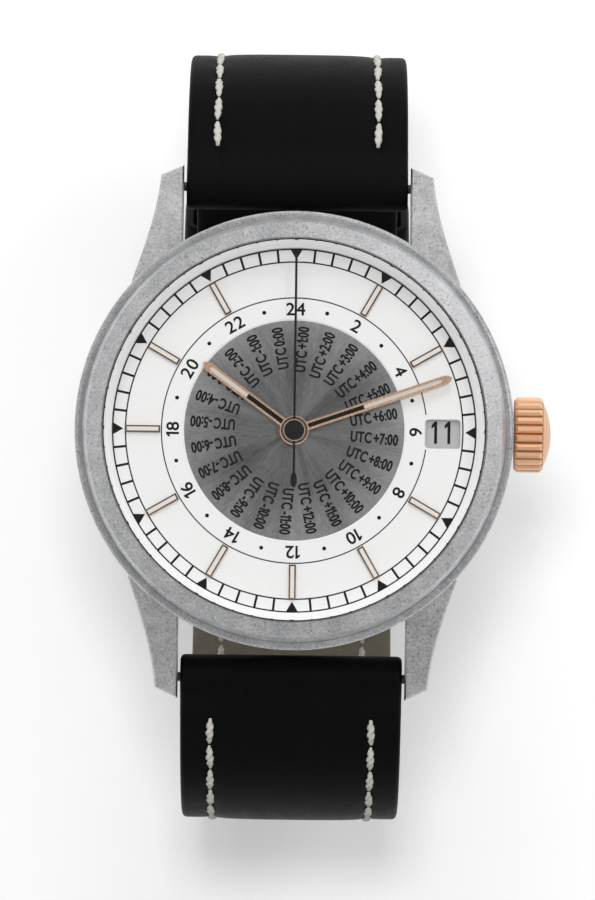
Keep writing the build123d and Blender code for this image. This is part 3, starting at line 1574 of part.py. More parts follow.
# Spring bars: a barrel with flanges between the lugs, tips in the lugs' holes
with BuildPart() as spring_bars:
    half_bar = lug_spacing / 2 - bar_end_gap
    for side in (1, -1):
        for radius, half_length in (
            (bar_radius, half_bar - bar_shoulder_width),
            (bar_tip_radius, lug_spacing / 2 + bar_tip_length),
        ):
            with BuildSketch(Plane.YZ):
                with Locations((side * bar_reach, bar_height)):
                    Circle(radius)
            extrude(amount=half_length, both=True)
pieces["spring_bars"] = spring_bars

# Strap: side outlines in the Y and Z plane, offsets measured outwards from the line between the two layers
slope_direction = (cos(radians(strap_slope)), -sin(radians(strap_slope)))
slope_normal = (sin(radians(strap_slope)), cos(radians(strap_slope)))
shoulder_centre = (
    bar_reach + slope_run - shoulder_radius * sin(radians(strap_slope)),
    bar_height - slope_fall - shoulder_radius * cos(radians(strap_slope)),
)
lining_high = -layer_gap
lining_low = -layer_gap - lining_thickness
tail_thickness = leather_thickness - lining_low
tail_radius = loop_radius + lining_low - tail_gap - leather_thickness
tail_low = loop_centre_height - tail_radius
tail_side_reach = shoulder_reach - tail_bend_radius
tail_bend_height = tail_low + tail_bend_radius


def slope_point(along, out):
    """Return the point at a distance along the slope that leaves the bar, and at an offset from it."""
    return (
        bar_reach + along * slope_direction[0] + out * slope_normal[0],
        bar_height + along * slope_direction[1] + out * slope_normal[1],
    )


def shoulder_lines(out, start, drop):
    """Draw the slope, the shoulder's arc and the fall to a height, at one offset."""
    Line(slope_point(start, out), slope_point(strap_lead, out))
    CenterArc(shoulder_centre, shoulder_radius + out, 0, 90 - strap_slope)
    Line((shoulder_reach + out, shoulder_centre[1]), (shoulder_reach + out, drop))


def short_side(low, high, start, end):
    """Return the side outline of one layer of the short half."""
    with BuildSketch(Plane.YZ) as face:
        with BuildLine():
            for out in (low, high):
                shoulder_lines(out, start, loop_centre_height)
                CenterArc((loop_flat, loop_centre_height), loop_radius + out, -90, 90)
                Line((loop_flat, loop_low - out), (end, loop_low - out))
            Line(slope_point(start, low), slope_point(start, high))
            Line((end, loop_low - low), (end, loop_low - high))
        make_face()
    return face.sketch


def long_side(low, high, start):
    """Return the side outline of one layer of the long half, drawn on the 12 o'clock side and mirrored."""
    with BuildSketch(Plane.YZ) as face:
        with BuildLine():
            for out in (low, high):
                shoulder_lines(out, start, tail_bend_height)
                CenterArc((tail_side_reach, tail_bend_height), tail_bend_radius + out, -90, 90)
                Line((tail_side_reach, tail_low - out), (-loop_flat, tail_low - out))
                CenterArc((-loop_flat, loop_centre_height), tail_radius + out, 180, 90)
                tail_side = -loop_flat - tail_radius - out
                Line((tail_side, loop_centre_height), (tail_side, loop_centre_height + tail_rise))
            Line(slope_point(start, low), slope_point(start, high))
            tail_top = loop_centre_height + tail_rise
            tail_face = -loop_flat - tail_radius
            Line((tail_face - low, tail_top), (tail_face - high, tail_top))
        make_face()
    return face.sketch


def nose_side():
    """Return the side outline of the leather that wraps round a spring bar."""
    with BuildSketch(Plane.YZ) as face:
        with Locations((bar_reach, bar_height)):
            Circle(nose_radius)
        with BuildLine():
            Polyline(
                slope_point(0, nose_radius),
                slope_point(nose_wrap, leather_thickness),
                slope_point(nose_wrap, lining_low),
                slope_point(0, -nose_radius),
                close=True,
            )
        make_face()
    return face.sketch


def strap_width_face():
    """Return the strap's outline seen from 12 o'clock: it narrows from the lugs to the bottom of the loop."""
    with BuildSketch(Plane.XZ) as face:
        with BuildLine():
            Polyline(
                (strap_start_width / 2, bar_height + nose_radius + overrun),
                (strap_start_width / 2, bar_height),
                (strap_end_width / 2, tail_low),
                (strap_end_width / 2, loop_low - overrun),
                (-strap_end_width / 2, loop_low - overrun),
                (-strap_end_width / 2, tail_low),
                (-strap_start_width / 2, bar_height),
                (-strap_start_width / 2, bar_height + nose_radius + overrun),
                close=True,
            )
        make_face()
    return face.sketch


strap_reach = shoulder_reach + overrun
half_start = strap_start_width / 2
buckle_place = (buckle_bar_reach, loop_low - buckle_bar_sink)
fold_end = buckle_bar_reach + buckle_fold


def cut_to_width():
    """Trim the strap piece being built to the strap's tapering width."""
    extrude(strap_width_face(), amount=strap_reach, both=True, mode=Mode.INTERSECT)


with BuildPart() as strap_short_leather:
    extrude(short_side(0, leather_thickness, 0, buckle_bar_reach), amount=half_start, both=True)
    extrude(nose_side(), amount=half_start, both=True)
    with BuildSketch(Plane.YZ):
        with Locations(buckle_place):
            Circle(buckle_loop_radius)
        with Locations((buckle_bar_reach, loop_low - leather_thickness)):
            Rectangle(buckle_fold, tail_thickness, align=(Align.MIN, Align.MIN))
    extrude(amount=half_start, both=True)
    with BuildSketch(Plane.YZ):
        with Locations((bar_reach, bar_height)):
            Circle(nose_bore_radius)
        with Locations(buckle_place):
            Circle(buckle_bar_radius + strap_bore_gap)
    extrude(amount=strap_reach, both=True, mode=Mode.SUBTRACT)
    with BuildSketch(Plane.XY.offset(buckle_place[1])):
        with Locations((0, buckle_bar_reach - overrun)):
            Rectangle(tongue_slot_width, overrun + tongue_slot_reach, align=(Align.CENTER, Align.MIN))
    extrude(amount=overrun, both=True, mode=Mode.SUBTRACT)
    cut_to_width()
pieces["strap_short_leather"] = strap_short_leather

with BuildPart() as strap_short_lining:
    lining_side = short_side(lining_low, lining_high, nose_wrap + layer_gap, fold_end + layer_gap)
    extrude(lining_side, amount=half_start, both=True)
    cut_to_width()
pieces["strap_short_lining"] = strap_short_lining


def tail_hole_planes():
    """Return a plane for each buckle hole, its normal pointing out of the tail."""
    quarter = tail_radius * pi / 2
    planes = []
    for count in range(hole_count):
        along = first_hole + count * hole_pitch
        if along < quarter:
            turn = -along / tail_radius
            height = loop_centre_height + tail_radius * sin(turn)
            origin = (0, loop_flat + tail_radius * cos(turn), height)
            planes.append(Plane(origin=origin, x_dir=(1, 0, 0), z_dir=(0, cos(turn), sin(turn))))
        else:
            origin = (0, loop_flat - along + quarter, tail_low)
            planes.append(Plane(origin=origin, x_dir=(1, 0, 0), z_dir=(0, 0, -1)))
    return planes


def hole_face(plane):
    """Return one buckle hole's face."""
    with BuildSketch(plane) as face:
        Circle(hole_radius)
    return face.sketch


def tail_point_face():
    """Return the two corners that the tail's pointed end loses."""
    top = loop_centre_height + tail_rise
    with BuildSketch(Plane.XZ.offset(-loop_flat)) as face:
        for side in (1, -1):
            with BuildLine():
                Polyline(
                    (side * tail_tip_width / 2, top),
                    (side * strap_start_width / 2, top - tail_tip_length),
                    (side * strap_start_width / 2, top),
                    close=True,
                )
            make_face()
    return face.sketch


def cut_tail():
    """Cut the buckle holes and the pointed end of the long half's piece being built."""
    for plane in tail_hole_planes():
        extrude(hole_face(plane), amount=tail_thickness, both=True, mode=Mode.SUBTRACT)
    extrude(tail_point_face(), amount=-2 * tail_radius, mode=Mode.SUBTRACT)


with BuildPart() as strap_long_leather:
    extrude(long_side(0, leather_thickness, 0), amount=half_start, both=True)
    extrude(nose_side(), amount=half_start, both=True)
    with BuildSketch(Plane.YZ):
        with Locations((bar_reach, bar_height)):
            Circle(nose_bore_radius)
    extrude(amount=strap_reach, both=True, mode=Mode.SUBTRACT)
    mirror(about=Plane.XZ, mode=Mode.REPLACE)
    cut_tail()
    cut_to_width()
pieces["strap_long_leather"] = strap_long_leather

with BuildPart() as strap_long_lining:
    extrude(long_side(lining_low, lining_high, nose_wrap + layer_gap), amount=half_start, both=True)
    mirror(about=Plane.XZ, mode=Mode.REPLACE)
    cut_tail()
    cut_to_width()
pieces["strap_long_lining"] = strap_long_lining

# Buckle: a tilted frame with ears on the bar, and a tongue in the rim's groove
tilt = radians(buckle_tilt)
buckle_plane = Plane(
    origin=(0, buckle_place[0], buckle_place[1]), x_dir=(1, 0, 0), z_dir=(0, sin(tilt), -cos(tilt))
)
buckle_inner = strap_end_width / 2 + buckle_side_gap
buckle_outer = buckle_inner + buckle_arm_width
groove_floor = buckle_thickness / 2 - tongue_groove_depth
with BuildPart() as buckle_frame:
    with BuildSketch(buckle_plane.offset(-buckle_thickness / 2)):
        Rectangle(2 * buckle_outer, buckle_length, align=(Align.CENTER, Align.MIN))
        on_bar = (Align.CENTER, Align.MIN)
        Rectangle(2 * buckle_inner, buckle_length - buckle_rim_width, align=on_bar, mode=Mode.SUBTRACT)
    extrude(amount=buckle_thickness)
    corner_edges = buckle_frame.edges().filter_by(Axis((0, 0, 0), tuple(buckle_plane.z_dir)))
    fillet(corner_edges.sort_by(Axis.Y)[:2], buckle_corner)
    with BuildSketch(Plane.YZ.offset(-buckle_outer)):
        with Locations(buckle_place):
            Circle(buckle_ear_radius)
    extrude(amount=buckle_arm_width)
    with BuildSketch(Plane.YZ.offset(buckle_outer)):
        with Locations(buckle_place):
            Circle(buckle_ear_radius)
    extrude(amount=-buckle_arm_width)
    with BuildSketch(Plane.YZ):
        with Locations(buckle_place):
            Circle(buckle_bar_tip_radius + running_gap)
    extrude(amount=buckle_inner + buckle_tip_depth + running_gap, both=True, mode=Mode.SUBTRACT)
    with BuildSketch(buckle_plane.offset(groove_floor)):
        Rectangle(tongue_width + 2 * buckle_side_gap, 2 * buckle_length, align=(Align.CENTER, Align.MIN))
    extrude(amount=overrun, mode=Mode.SUBTRACT)
pieces["buckle_frame"] = buckle_frame

with BuildPart() as buckle_bar:
    for radius, half_length in (
        (buckle_bar_radius, strap_end_width / 2 + buckle_side_gap / 2),
        (buckle_bar_tip_radius, buckle_inner + buckle_tip_depth),
    ):
        with BuildSketch(Plane.YZ):
            with Locations(buckle_place):
                Circle(radius)
        extrude(amount=half_length, both=True)
pieces["buckle_bar"] = buckle_bar

with BuildPart() as buckle_tongue:
    with BuildSketch(Plane.YZ):
        with Locations(buckle_place):
            Circle(buckle_bar_radius + running_gap + tongue_collar_wall)
    extrude(amount=tongue_collar_width / 2, both=True)
    with BuildSketch(buckle_plane.offset(groove_floor + running_gap)):
        Rectangle(tongue_width, buckle_length - tongue_short, align=(Align.CENTER, Align.MIN))
    extrude(amount=tongue_thickness)
    tip_edges = buckle_tongue.edges().filter_by(Axis((0, 0, 0), tuple(buckle_plane.z_dir)))
    chamfer(tip_edges.sort_by(Axis.Y)[:2], tongue_width / 3)
    with BuildSketch(Plane.YZ):
        with Locations(buckle_place):
            Circle(buckle_bar_radius + running_gap)
    extrude(amount=tongue_collar_width, both=True, mode=Mode.SUBTRACT)
pieces["buckle_tongue"] = buckle_tongue

# Keepers: one sewn to the short half, one that slides along its curve
keeper_room = tail_thickness + keeper_gap
keeper_half = strap_end_width / 2 + keeper_gap + keeper_side
with BuildPart() as fixed_keeper:
    keeper_top = loop_low - lining_low
    keeper_floor = loop_low - leather_thickness - keeper_room
    with BuildSketch(Plane.XZ.offset(-keeper_start)):
        with Locations((0, keeper_floor - keeper_wall)):
            Rectangle(
                2 * keeper_half + 2 * keeper_wall,
                keeper_top - keeper_floor + 2 * keeper_wall,
                align=(Align.CENTER, Align.MIN),
            )
        with Locations((0, keeper_floor)):
            on_floor = (Align.CENTER, Align.MIN)
            Rectangle(2 * keeper_half, keeper_top - keeper_floor, align=on_floor, mode=Mode.SUBTRACT)
    extrude(amount=-keeper_width)
pieces["fixed_keeper"] = fixed_keeper

free_inner = loop_radius + lining_low - keeper_gap
free_outer = loop_radius + leather_thickness + keeper_room
half_turn = degrees(keeper_width / (2 * loop_radius))


def keeper_sector(low, high, spread):
    """Return a ring sector about the loop's centre, at the free keeper's angle."""
    first = -90 + keeper_angle - spread
    last = -90 + keeper_angle + spread
    with BuildSketch(Plane.YZ) as face:
        with BuildLine():
            corners = []
            for angle in (first, last):
                for radius in (low, high):
                    spot = polar(radius, angle)
                    corners.append((loop_flat + spot[0], loop_centre_height + spot[1]))
            Line(corners[0], corners[1])
            CenterArc((loop_flat, loop_centre_height), high, first, 2 * spread)
            Line(corners[3], corners[2])
            CenterArc((loop_flat, loop_centre_height), low, first, 2 * spread)
        make_face()
    return face.sketch


with BuildPart() as free_keeper:
    outer_sector = keeper_sector(free_inner - keeper_wall, free_outer + keeper_wall, half_turn)
    extrude(outer_sector, amount=keeper_half + keeper_wall, both=True)
    inner_sector = keeper_sector(free_inner, free_outer, 2 * half_turn)
    extrude(inner_sector, amount=keeper_half, both=True, mode=Mode.SUBTRACT)
pieces["free_keeper"] = free_keeper

for name, piece in pieces.items():
    piece.part.label = name
    export_step(piece.part, f"parts/{name}.step")
    print(name, len(piece.part.solids()), round(piece.part.volume, 3), piece.part.is_valid)
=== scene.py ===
"""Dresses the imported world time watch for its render: finishes, prints, inlays, the sewn strap and a studio."""

from __future__ import annotations

import json
import logging
import math
from dataclasses import dataclass, field
from enum import Enum
from typing import Callable, Iterable

import bpy
import numpy as np
from mathutils import Matrix, Vector

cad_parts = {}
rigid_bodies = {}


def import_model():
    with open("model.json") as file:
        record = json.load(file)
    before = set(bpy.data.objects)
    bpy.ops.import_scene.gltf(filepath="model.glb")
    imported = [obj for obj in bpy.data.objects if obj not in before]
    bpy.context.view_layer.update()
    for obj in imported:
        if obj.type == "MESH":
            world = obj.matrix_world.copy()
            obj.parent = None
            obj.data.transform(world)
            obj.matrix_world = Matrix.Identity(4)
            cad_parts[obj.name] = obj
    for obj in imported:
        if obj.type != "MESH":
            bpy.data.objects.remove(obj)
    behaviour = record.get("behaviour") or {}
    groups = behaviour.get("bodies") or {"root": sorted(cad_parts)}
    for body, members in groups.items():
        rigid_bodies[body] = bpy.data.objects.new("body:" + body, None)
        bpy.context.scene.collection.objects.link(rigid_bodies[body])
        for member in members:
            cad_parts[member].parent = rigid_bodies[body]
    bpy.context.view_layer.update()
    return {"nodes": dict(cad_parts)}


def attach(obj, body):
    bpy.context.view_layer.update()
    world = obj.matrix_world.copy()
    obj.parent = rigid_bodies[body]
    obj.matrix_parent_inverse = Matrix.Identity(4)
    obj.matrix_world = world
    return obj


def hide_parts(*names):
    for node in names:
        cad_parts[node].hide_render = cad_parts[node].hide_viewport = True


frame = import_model()
log = logging.getLogger("watch")

MM = 0.001
TURN = 2 * math.pi
# How far print and inlays stand off the face under them, so that no two faces lie in one plane, in millimetres
FOOT = 0.002
Array = np.ndarray
Place = tuple[float, float, float]
Span = tuple[float, float]
Colour = float | Place


# Shapes worked out on grids


@dataclass
class Shape:
    """A surface in millimetres: points (n, 3) and face tables, each with its own count of corners."""

    points: Array
    faces: list[Array]

    @staticmethod
    def join(shapes: Iterable["Shape"]) -> "Shape":
        """Put several shapes in one, with their face tables moved on by the points before them.

        Args:
            shapes: The shapes.

        Returns:
            The one shape.
        """
        points, faces, count = [], [], 0
        for shape in shapes:
            points.append(shape.points)
            faces += [table + count for table in shape.faces]
            count += len(shape.points)
        return Shape(np.concatenate(points), faces)

    def volume(self) -> float:
        """Return the enclosed volume, the sum of the tetrahedra from the origin to each corner triangle."""
        total = 0.0
        for table in self.faces:
            for k in range(1, table.shape[1] - 1):
                a, b, c = (self.points[table[:, i]] for i in (0, k, k + 1))
                total += float(np.einsum("ij,ij->i", a, np.cross(b, c)).sum()) / 6
        return total

    def outward(self) -> "Shape":
        """Turn the faces round where the enclosed volume is below zero, so that they point outwards."""
        if self.volume() < 0:
            self.faces = [table[:, ::-1] for table in self.faces]
        return self

    def turned(self, angle: float) -> "Shape":
        """Return the shape turned about the Z axis by an angle in radians."""
        c, s = math.cos(angle), math.sin(angle)
        return Shape(self.points @ np.array([[c, s, 0], [-s, c, 0], [0, 0, 1]]), self.faces)

    def moved(self, x: float, y: float, z: float = 0.0) -> "Shape":
        """Return the shape moved along the three axes."""
        return Shape(self.points + np.array([x, y, z]), self.faces)

    def piece(self, name: str, body: str, finish: "Finish", slot: str, smooth: float = 35.0) -> bpy.types.Object:
        """Make the shape a Blender object that rides on a body.

        Args:
            name: The piece's name.
            body: The CAD body that it moves with.
            finish: What it is dressed in.
            slot: The record's material slot; not used.
            smooth: Edges sharper than this many degrees stay sharp.

        Returns:
            The object, at the origin, with its place in its mesh.
        """
        mesh = bpy.data.meshes.new(name)
        rows = [row for table in self.faces for row in table.tolist()]
        mesh.from_pydata((self.points * MM).tolist(), [], rows)
        mesh.polygons.foreach_set("use_smooth", np.ones(len(mesh.polygons), dtype=bool))
        mesh.set_sharp_from_angle(angle=math.radians(smooth))
        mesh.materials.append(finish.material())
        thing = bpy.data.objects.new(name, mesh)
        bpy.context.scene.collection.objects.link(thing)
        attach(thing, body)
        log.info("%s: %d faces on %s", name, len(mesh.polygons), body)
        return thing


def swept(rows: Array, ring: bool = False) -> Shape:
    """Return the closed surface through a grid of points.

    Point (i, j) is point j of section i. Each section closes on itself, and quads join section i to i + 1.

    Args:
        rows: The grid, (sections, points of a section, 3).
        ring: Whether the last section joins the first. Otherwise both ends are closed by a face each.

    Returns:
        The surface, facing outwards.
    """
    count, corners = rows.shape[:2]
    i = np.arange(count if ring else count - 1)[:, None]
    j = np.arange(corners)[None, :]
    here, there, following = i * corners, ((i + 1) % count) * corners, (j + 1) % corners
    faces = [np.stack([here + j, here + following, there + following, there + j], -1).reshape(-1, 4)]
    if not ring:
        cap = np.arange(corners)[None, :]
        faces += [cap[:, ::-1], cap + (count - 1) * corners]
    return Shape(rows.reshape(-1, 3), faces).outward()


def carried(section: Array | list[Span], start: float = 0.0, end: float = TURN, sides: int = 240) -> Shape:
    """Carry a closed section round the Z axis, each corner at distance r and height z to (r cos a, r sin a, z).

    Args:
        section: Its corners in order, each as distance from the axis and height.
        start: Angle where it begins, in radians from +X.
        end: Angle where it ends.
        sides: How often the section stands.

    Returns:
        The turned ring, or a part of one with its two ends closed.
    """
    whole = end - start >= TURN
    angles = np.linspace(start, end, sides, endpoint=not whole)[:, None]
    reach, height = np.array(section).T
    return swept(np.stack([reach * np.cos(angles), reach * np.sin(angles), height + 0 * angles], -1), ring=whole)


def ring_band(inner: float, outer: float, low: float, high: float, start: float = 0.0, end: float = TURN) -> Shape:
    """Return a flat ring, or a part of one, between two radii and two heights."""
    sides = max(8, int(240 * (end - start) / TURN))
    return carried([(inner, low), (outer, low), (outer, high), (inner, high)], start, end, sides)


def prism(outline: Array | list[Span], low: float, high: float) -> Shape:
    """Raise an upright block over a flat outline.

    Args:
        outline: Its corners in order, each as x and y.
        low: Height of its underside.
        high: Height of its top.

    Returns:
        The block.
    """
    flat = np.array(outline)
    rows = np.stack([np.column_stack([flat, np.full(len(flat), level)]) for level in (low, high)])
    return swept(rows)


def bar(start: float, end: float, width: float, low: float, high: float) -> Shape:
    """Return a straight block along +X between two distances from the Z axis."""
    half = width / 2
    return prism([(start, -half), (end, -half), (end, half), (start, half)], low, high)


def clock_angle(hours: float) -> float:
    """Return the angle from +X, in radians, of a place on the twelve hour ring."""
    return math.radians(90 - 30 * hours)


def unit(rows: Array) -> Array:
    """Return each row over its own length."""
    return rows / np.linalg.norm(rows, axis=1, keepdims=True)


def eased(share: Array) -> Array:
    """Return a share from 0 to 1 as a step that starts and ends level."""
    return share * share * (3 - 2 * share)


def half_turn(count: int) -> Array:
    """Return points on a circle of radius 1 from its bottom, round the side of -Y, to its top, as y and z."""
    turn = np.linspace(-math.pi / 2, -3 * math.pi / 2, count)
    return np.column_stack([np.cos(turn), np.sin(turn)])


# Shader nodes


Socket = bpy.types.NodeSocket


class Bench:
    """Adds nodes to one node tree and joins them."""

    def __init__(self, tree: bpy.types.NodeTree) -> None:
        """Keep the tree that the nodes go into."""
        self.tree = tree

    def fill(self, sockets: bpy.types.bpy_prop_collection, inputs: dict) -> None:
        """Give sockets their values, or join each to the socket that feeds it.

        Args:
            sockets: A node's inputs.
            inputs: Values or feeding sockets, by the input's name or number. A colour given as one number is a grey.
        """
        for name, value in inputs.items():
            if isinstance(value, Socket):
                self.tree.links.new(value, sockets[name])
            elif sockets[name].type == "RGBA":
                sockets[name].default_value = (*(value if isinstance(value, tuple) else (value,) * 3), 1.0)
            else:
                sockets[name].default_value = value

    def node(self, kind: str, inputs: dict | None = None, **settings: object) -> bpy.types.Node:
        """Add a node.

        Args:
            kind: The node's type name without its first part, ShaderNode.
            inputs: Values or feeding sockets, by the input's name or number.
            settings: The node's own settings.

        Returns:
            The node.
        """
        made = self.tree.nodes.new("ShaderNode" + kind)
        for name, value in settings.items():
            setattr(made, name, value)
        self.fill(made.inputs, inputs or {})
        return made

    def sum(self, operation: str, *values: object) -> Socket:
        """Return the result of a Math node on the given values or sockets."""
        return self.node("Math", dict(enumerate(values)), operation=operation).outputs[0]

    def times(self, first: Socket, second: object) -> Socket:
        """Return the product of two numbers."""
        return self.sum("MULTIPLY", first, second)

    def weighted(self, *terms: tuple[Socket, float]) -> Socket:
        """Return the sum of several numbers, each times its weight.

        Args:
            terms: Each number with its weight.

        Returns:
            The sum, added up from the first term to the last.
        """
        total, *others = [self.times(value, weight) for value, weight in terms]
        for part in others:
            total = self.sum("ADD", total, part)
        return total

    def vector(self, operation: str, *values: object) -> Socket:
        """Return the result of a Vector Math node, a number for a length or a dot product."""
        made = self.node("VectorMath", dict(enumerate(values)), operation=operation)
        return made.outputs["Value" if operation in ("LENGTH", "DOT_PRODUCT") else "Vector"]

    def reach(self, place: Socket, plane: tuple[int, int, int] = (1, 1, 0)) -> Socket:
        """Return the distance from an axis, the Z axis as a rule: the length of a place within a plane."""
        return self.vector("LENGTH", self.vector("MULTIPLY", place, plane))

    def noise(self, place: Socket, scale: object, detail: float = 3.0, rough: float = 0.55) -> Socket:
        """Return smooth noise from 0 to 1 at a place."""
        inputs = {"Vector": place, "Scale": scale, "Detail": detail, "Roughness": rough}
        return self.node("TexNoise", inputs).outputs["Fac"]

    def cells(self, place: Socket, scale: Socket, random: float = 1.0, feature: str = "F1") -> Socket:
        """Return the distance to the middle of the nearest cell, or to its edge, as the feature says."""
        inputs = {"Vector": place, "Scale": scale, "Randomness": random}
        return self.node("TexVoronoi", inputs, feature=feature).outputs["Distance"]

    def blend(self, share: Socket, first: object, second: object) -> Socket:
        """Return a colour between two, by a share from 0 to 1."""
        return self.node("Mix", {0: share, 6: first, 7: second}, data_type="RGBA").outputs[2]

    def spread(self, value: Socket, low: float, high: float, start: float = 0.0, end: float = 1.0) -> Socket:
        """Return a value moved from the range start..end to the range low..high, and kept in it."""
        inputs = {0: value, 1: start, 2: end, 3: low, 4: high}
        return self.node("MapRange", inputs).outputs[0]

    def show(self, share: Socket, first: bpy.types.Node, second: bpy.types.Node) -> None:
        """Show a mix of two shaders as the material's surface."""
        mixed = self.node("MixShader", {0: share, 1: first.outputs[0], 2: second.outputs[0]})
        self.fill(self.tree.nodes["Material Output"].inputs, {"Surface": mixed.outputs[0]})


class Pattern(Enum):
    """What marks a surface: the name of its method in Marks, and of its shader group."""

    BLASTED = "blasted"
    SUNBURST = "sunburst"
    TURNED = "turned"
    BRUSHED = "brushed"
    STRIPES = "stripes"
    SPOTS = "spots"
    FINE = "fine"
    PEBBLED = "pebbled"
    SUEDE = "suede"
    # carries painted shade in the crown's flutes
    FLUTED = "fluted"
    # carries painted shade in the bezel's step
    STEPPED = "stepped"


class Marks(Bench):
    """The bench in a pattern's group. Each pattern is a height from about 0 to 1 at each place on the piece."""

    crown_axis: float = 5.225

    def __init__(self, tree: bpy.types.NodeTree, size: Socket) -> None:
        """Find the place on the piece, and take the pitch as one over the pattern's size.

        Args:
            tree: The pattern's own group.
            size: The group's input for the size of a mark, in metres.
        """
        super().__init__(tree)
        self.place = self.node("TexCoord").outputs["Object"]
        self.pitch = self.sum("DIVIDE", 1.0, size)

    def grain(self, share: float = 1.0, detail: float = 3.0, rough: float = 0.55) -> Socket:
        """Return noise on the piece, at a share of the pitch."""
        return self.noise(self.place, self.times(self.pitch, share), detail, rough)

    def blasted(self) -> Socket:
        """Return three sizes of noise added, less a sprinkling of small pits, for bead blasted metal."""
        cloud, coarse, fine = self.grain(0.12), self.grain(1.0, 2.0), self.grain(3.1, 2.0, 0.7)
        pits = self.spread(self.cells(self.place, self.times(self.pitch, 0.35)), 0.45, 0.0, 0.04, 0.16)
        return self.sum("SUBTRACT", self.weighted((coarse, 0.42), (fine, 0.33), (cloud, 0.25)), pits)

    def sunburst(self) -> Socket:
        """Return noise on the bearing from the Z axis, so that each streak runs outwards, rising towards 9.6 mm:
        painted reflection, in part in the slow noise's lighter and darker sectors and in the lighter outer disc.
        """
        flat = self.vector("MULTIPLY", self.place, (1, 1, 0))
        reach = self.vector("LENGTH", flat)
        drift = self.node("CombineXYZ", {"Z": self.times(reach, 25.0)}).outputs[0]
        spoke = self.vector("ADD", self.vector("NORMALIZE", flat), drift)
        # painted reflection in part: slow noise round the bearing gives lighter and darker sectors
        wide = self.noise(spoke, self.times(self.pitch, 0.00035), 2.0)
        thin = self.noise(spoke, self.times(self.pitch, 0.006), 4.0, 0.8)
        # painted highlight: the disc grows lighter from 5 to 9.6 mm out
        rise = self.spread(reach, 0.0, 0.20, 5.0 * MM, 9.6 * MM)
        return self.sum("ADD", self.weighted((wide, 0.4), (thin, 0.6)), rise)

    def turned(self) -> Socket:
        """Return noise on the distance from the Z axis, with a slow drift along each groove."""
        x, _, z = self.node("SeparateXYZ", {0: self.place}).outputs
        drift = {"Y": self.times(self.sum("ABSOLUTE", x), 0.03), "Z": self.times(z, 0.5)}
        groove = self.node("CombineXYZ", {"X": self.reach(self.place), **drift}).outputs[0]
        return self.noise(groove, self.pitch, 3.0, 0.7)

    def brushed(self) -> Socket:
        """Return noise drawn out along Y."""
        return self.noise(self.vector("MULTIPLY", self.place, (1, 0.04, 1)), self.pitch, 3.0, 0.7)

    def stripes(self) -> Socket:
        """Return straight bands of one width across X, each rounded, with fine turned marks in it."""
        x = self.node("SeparateXYZ", {0: self.place}).outputs[0]
        wave = self.sum("PINGPONG", self.times(x, self.pitch), 1.0)
        curl = self.vector("MULTIPLY", self.place, (1, 0.12, 1))
        return self.weighted((wave, 0.8), (self.noise(curl, self.times(self.pitch, 14.0), 2.0), 0.2))

    def spots(self) -> Socket:
        """Return round turned spots that lap over one another, from the distance to the nearest cell."""
        near = self.cells(self.place, self.pitch, 0.15)
        rings = self.sum("SINE", self.times(near, 34.0))
        return self.weighted((rings, 0.12), (near, 1.0))

    def fine(self) -> Socket:
        """Return plain fine noise, for paint, plastic and polished metal."""
        return self.grain(1.0, 4.0, 0.6)

    def pebbled(self) -> Socket:
        """Return small soft cells with creases between them and slower waves under them, for smooth calf leather."""
        warp = self.node("TexNoise", {"Vector": self.place, "Scale": self.times(self.pitch, 0.6)}).outputs["Color"]
        there = self.vector("ADD", self.place, self.vector("MULTIPLY", warp, (0.4 * MM, 0.4 * MM, 0.4 * MM)))
        pores = self.sum("MINIMUM", self.times(self.cells(there, self.pitch, feature="DISTANCE_TO_EDGE"), 2.2), 0.5)
        return self.weighted((pores, 0.6), (self.grain(0.22), 0.7))

    def suede(self) -> Socket:
        """Return fine noise over blotches eight times as large, for the nap of a lining."""
        return self.weighted((self.grain(1.0, 5.0, 0.75), 0.5), (self.grain(0.12), 0.5))

    def stepped(self) -> Socket:
        """Return blasted grain that falls in the turned step round the bezel, 18.4 to 19.1 mm from its axis, so the
        step takes the darker colour: painted shade in the groove.
        """
        reach = self.reach(self.place)
        # painted shade: the grain falls to 0.8 of its height between 18.6 and 18.9 mm
        inside = self.spread(reach, 1.0, 0.80, 18.40 * MM, 18.60 * MM)
        outside = self.spread(reach, 0.80, 1.0, 18.90 * MM, 19.12 * MM)
        return self.times(self.blasted(), self.sum("MAXIMUM", inside, outside))

    def fluted(self) -> Socket:
        """Return a height that is low in the crown's flutes and high on their crests and on the end cap: the low
        flutes take a dark brown, painted shade in the grooves.
        """
        reach = self.reach(self.vector("SUBTRACT", self.place, (0, 0, self.crown_axis * MM)), (0, 1, 1))
        # painted shade: the flutes' floors take the dark colour
        crest = self.spread(reach, 0.0, 1.0, 3.01 * MM, 3.15 * MM)
        cap = self.spread(reach, 0.70, 0.0, 2.88 * MM, 2.96 * MM)
        return self.times(self.sum("MAXIMUM", crest, cap), self.spread(self.grain(1.0, 2.0), 0.75, 1.0))


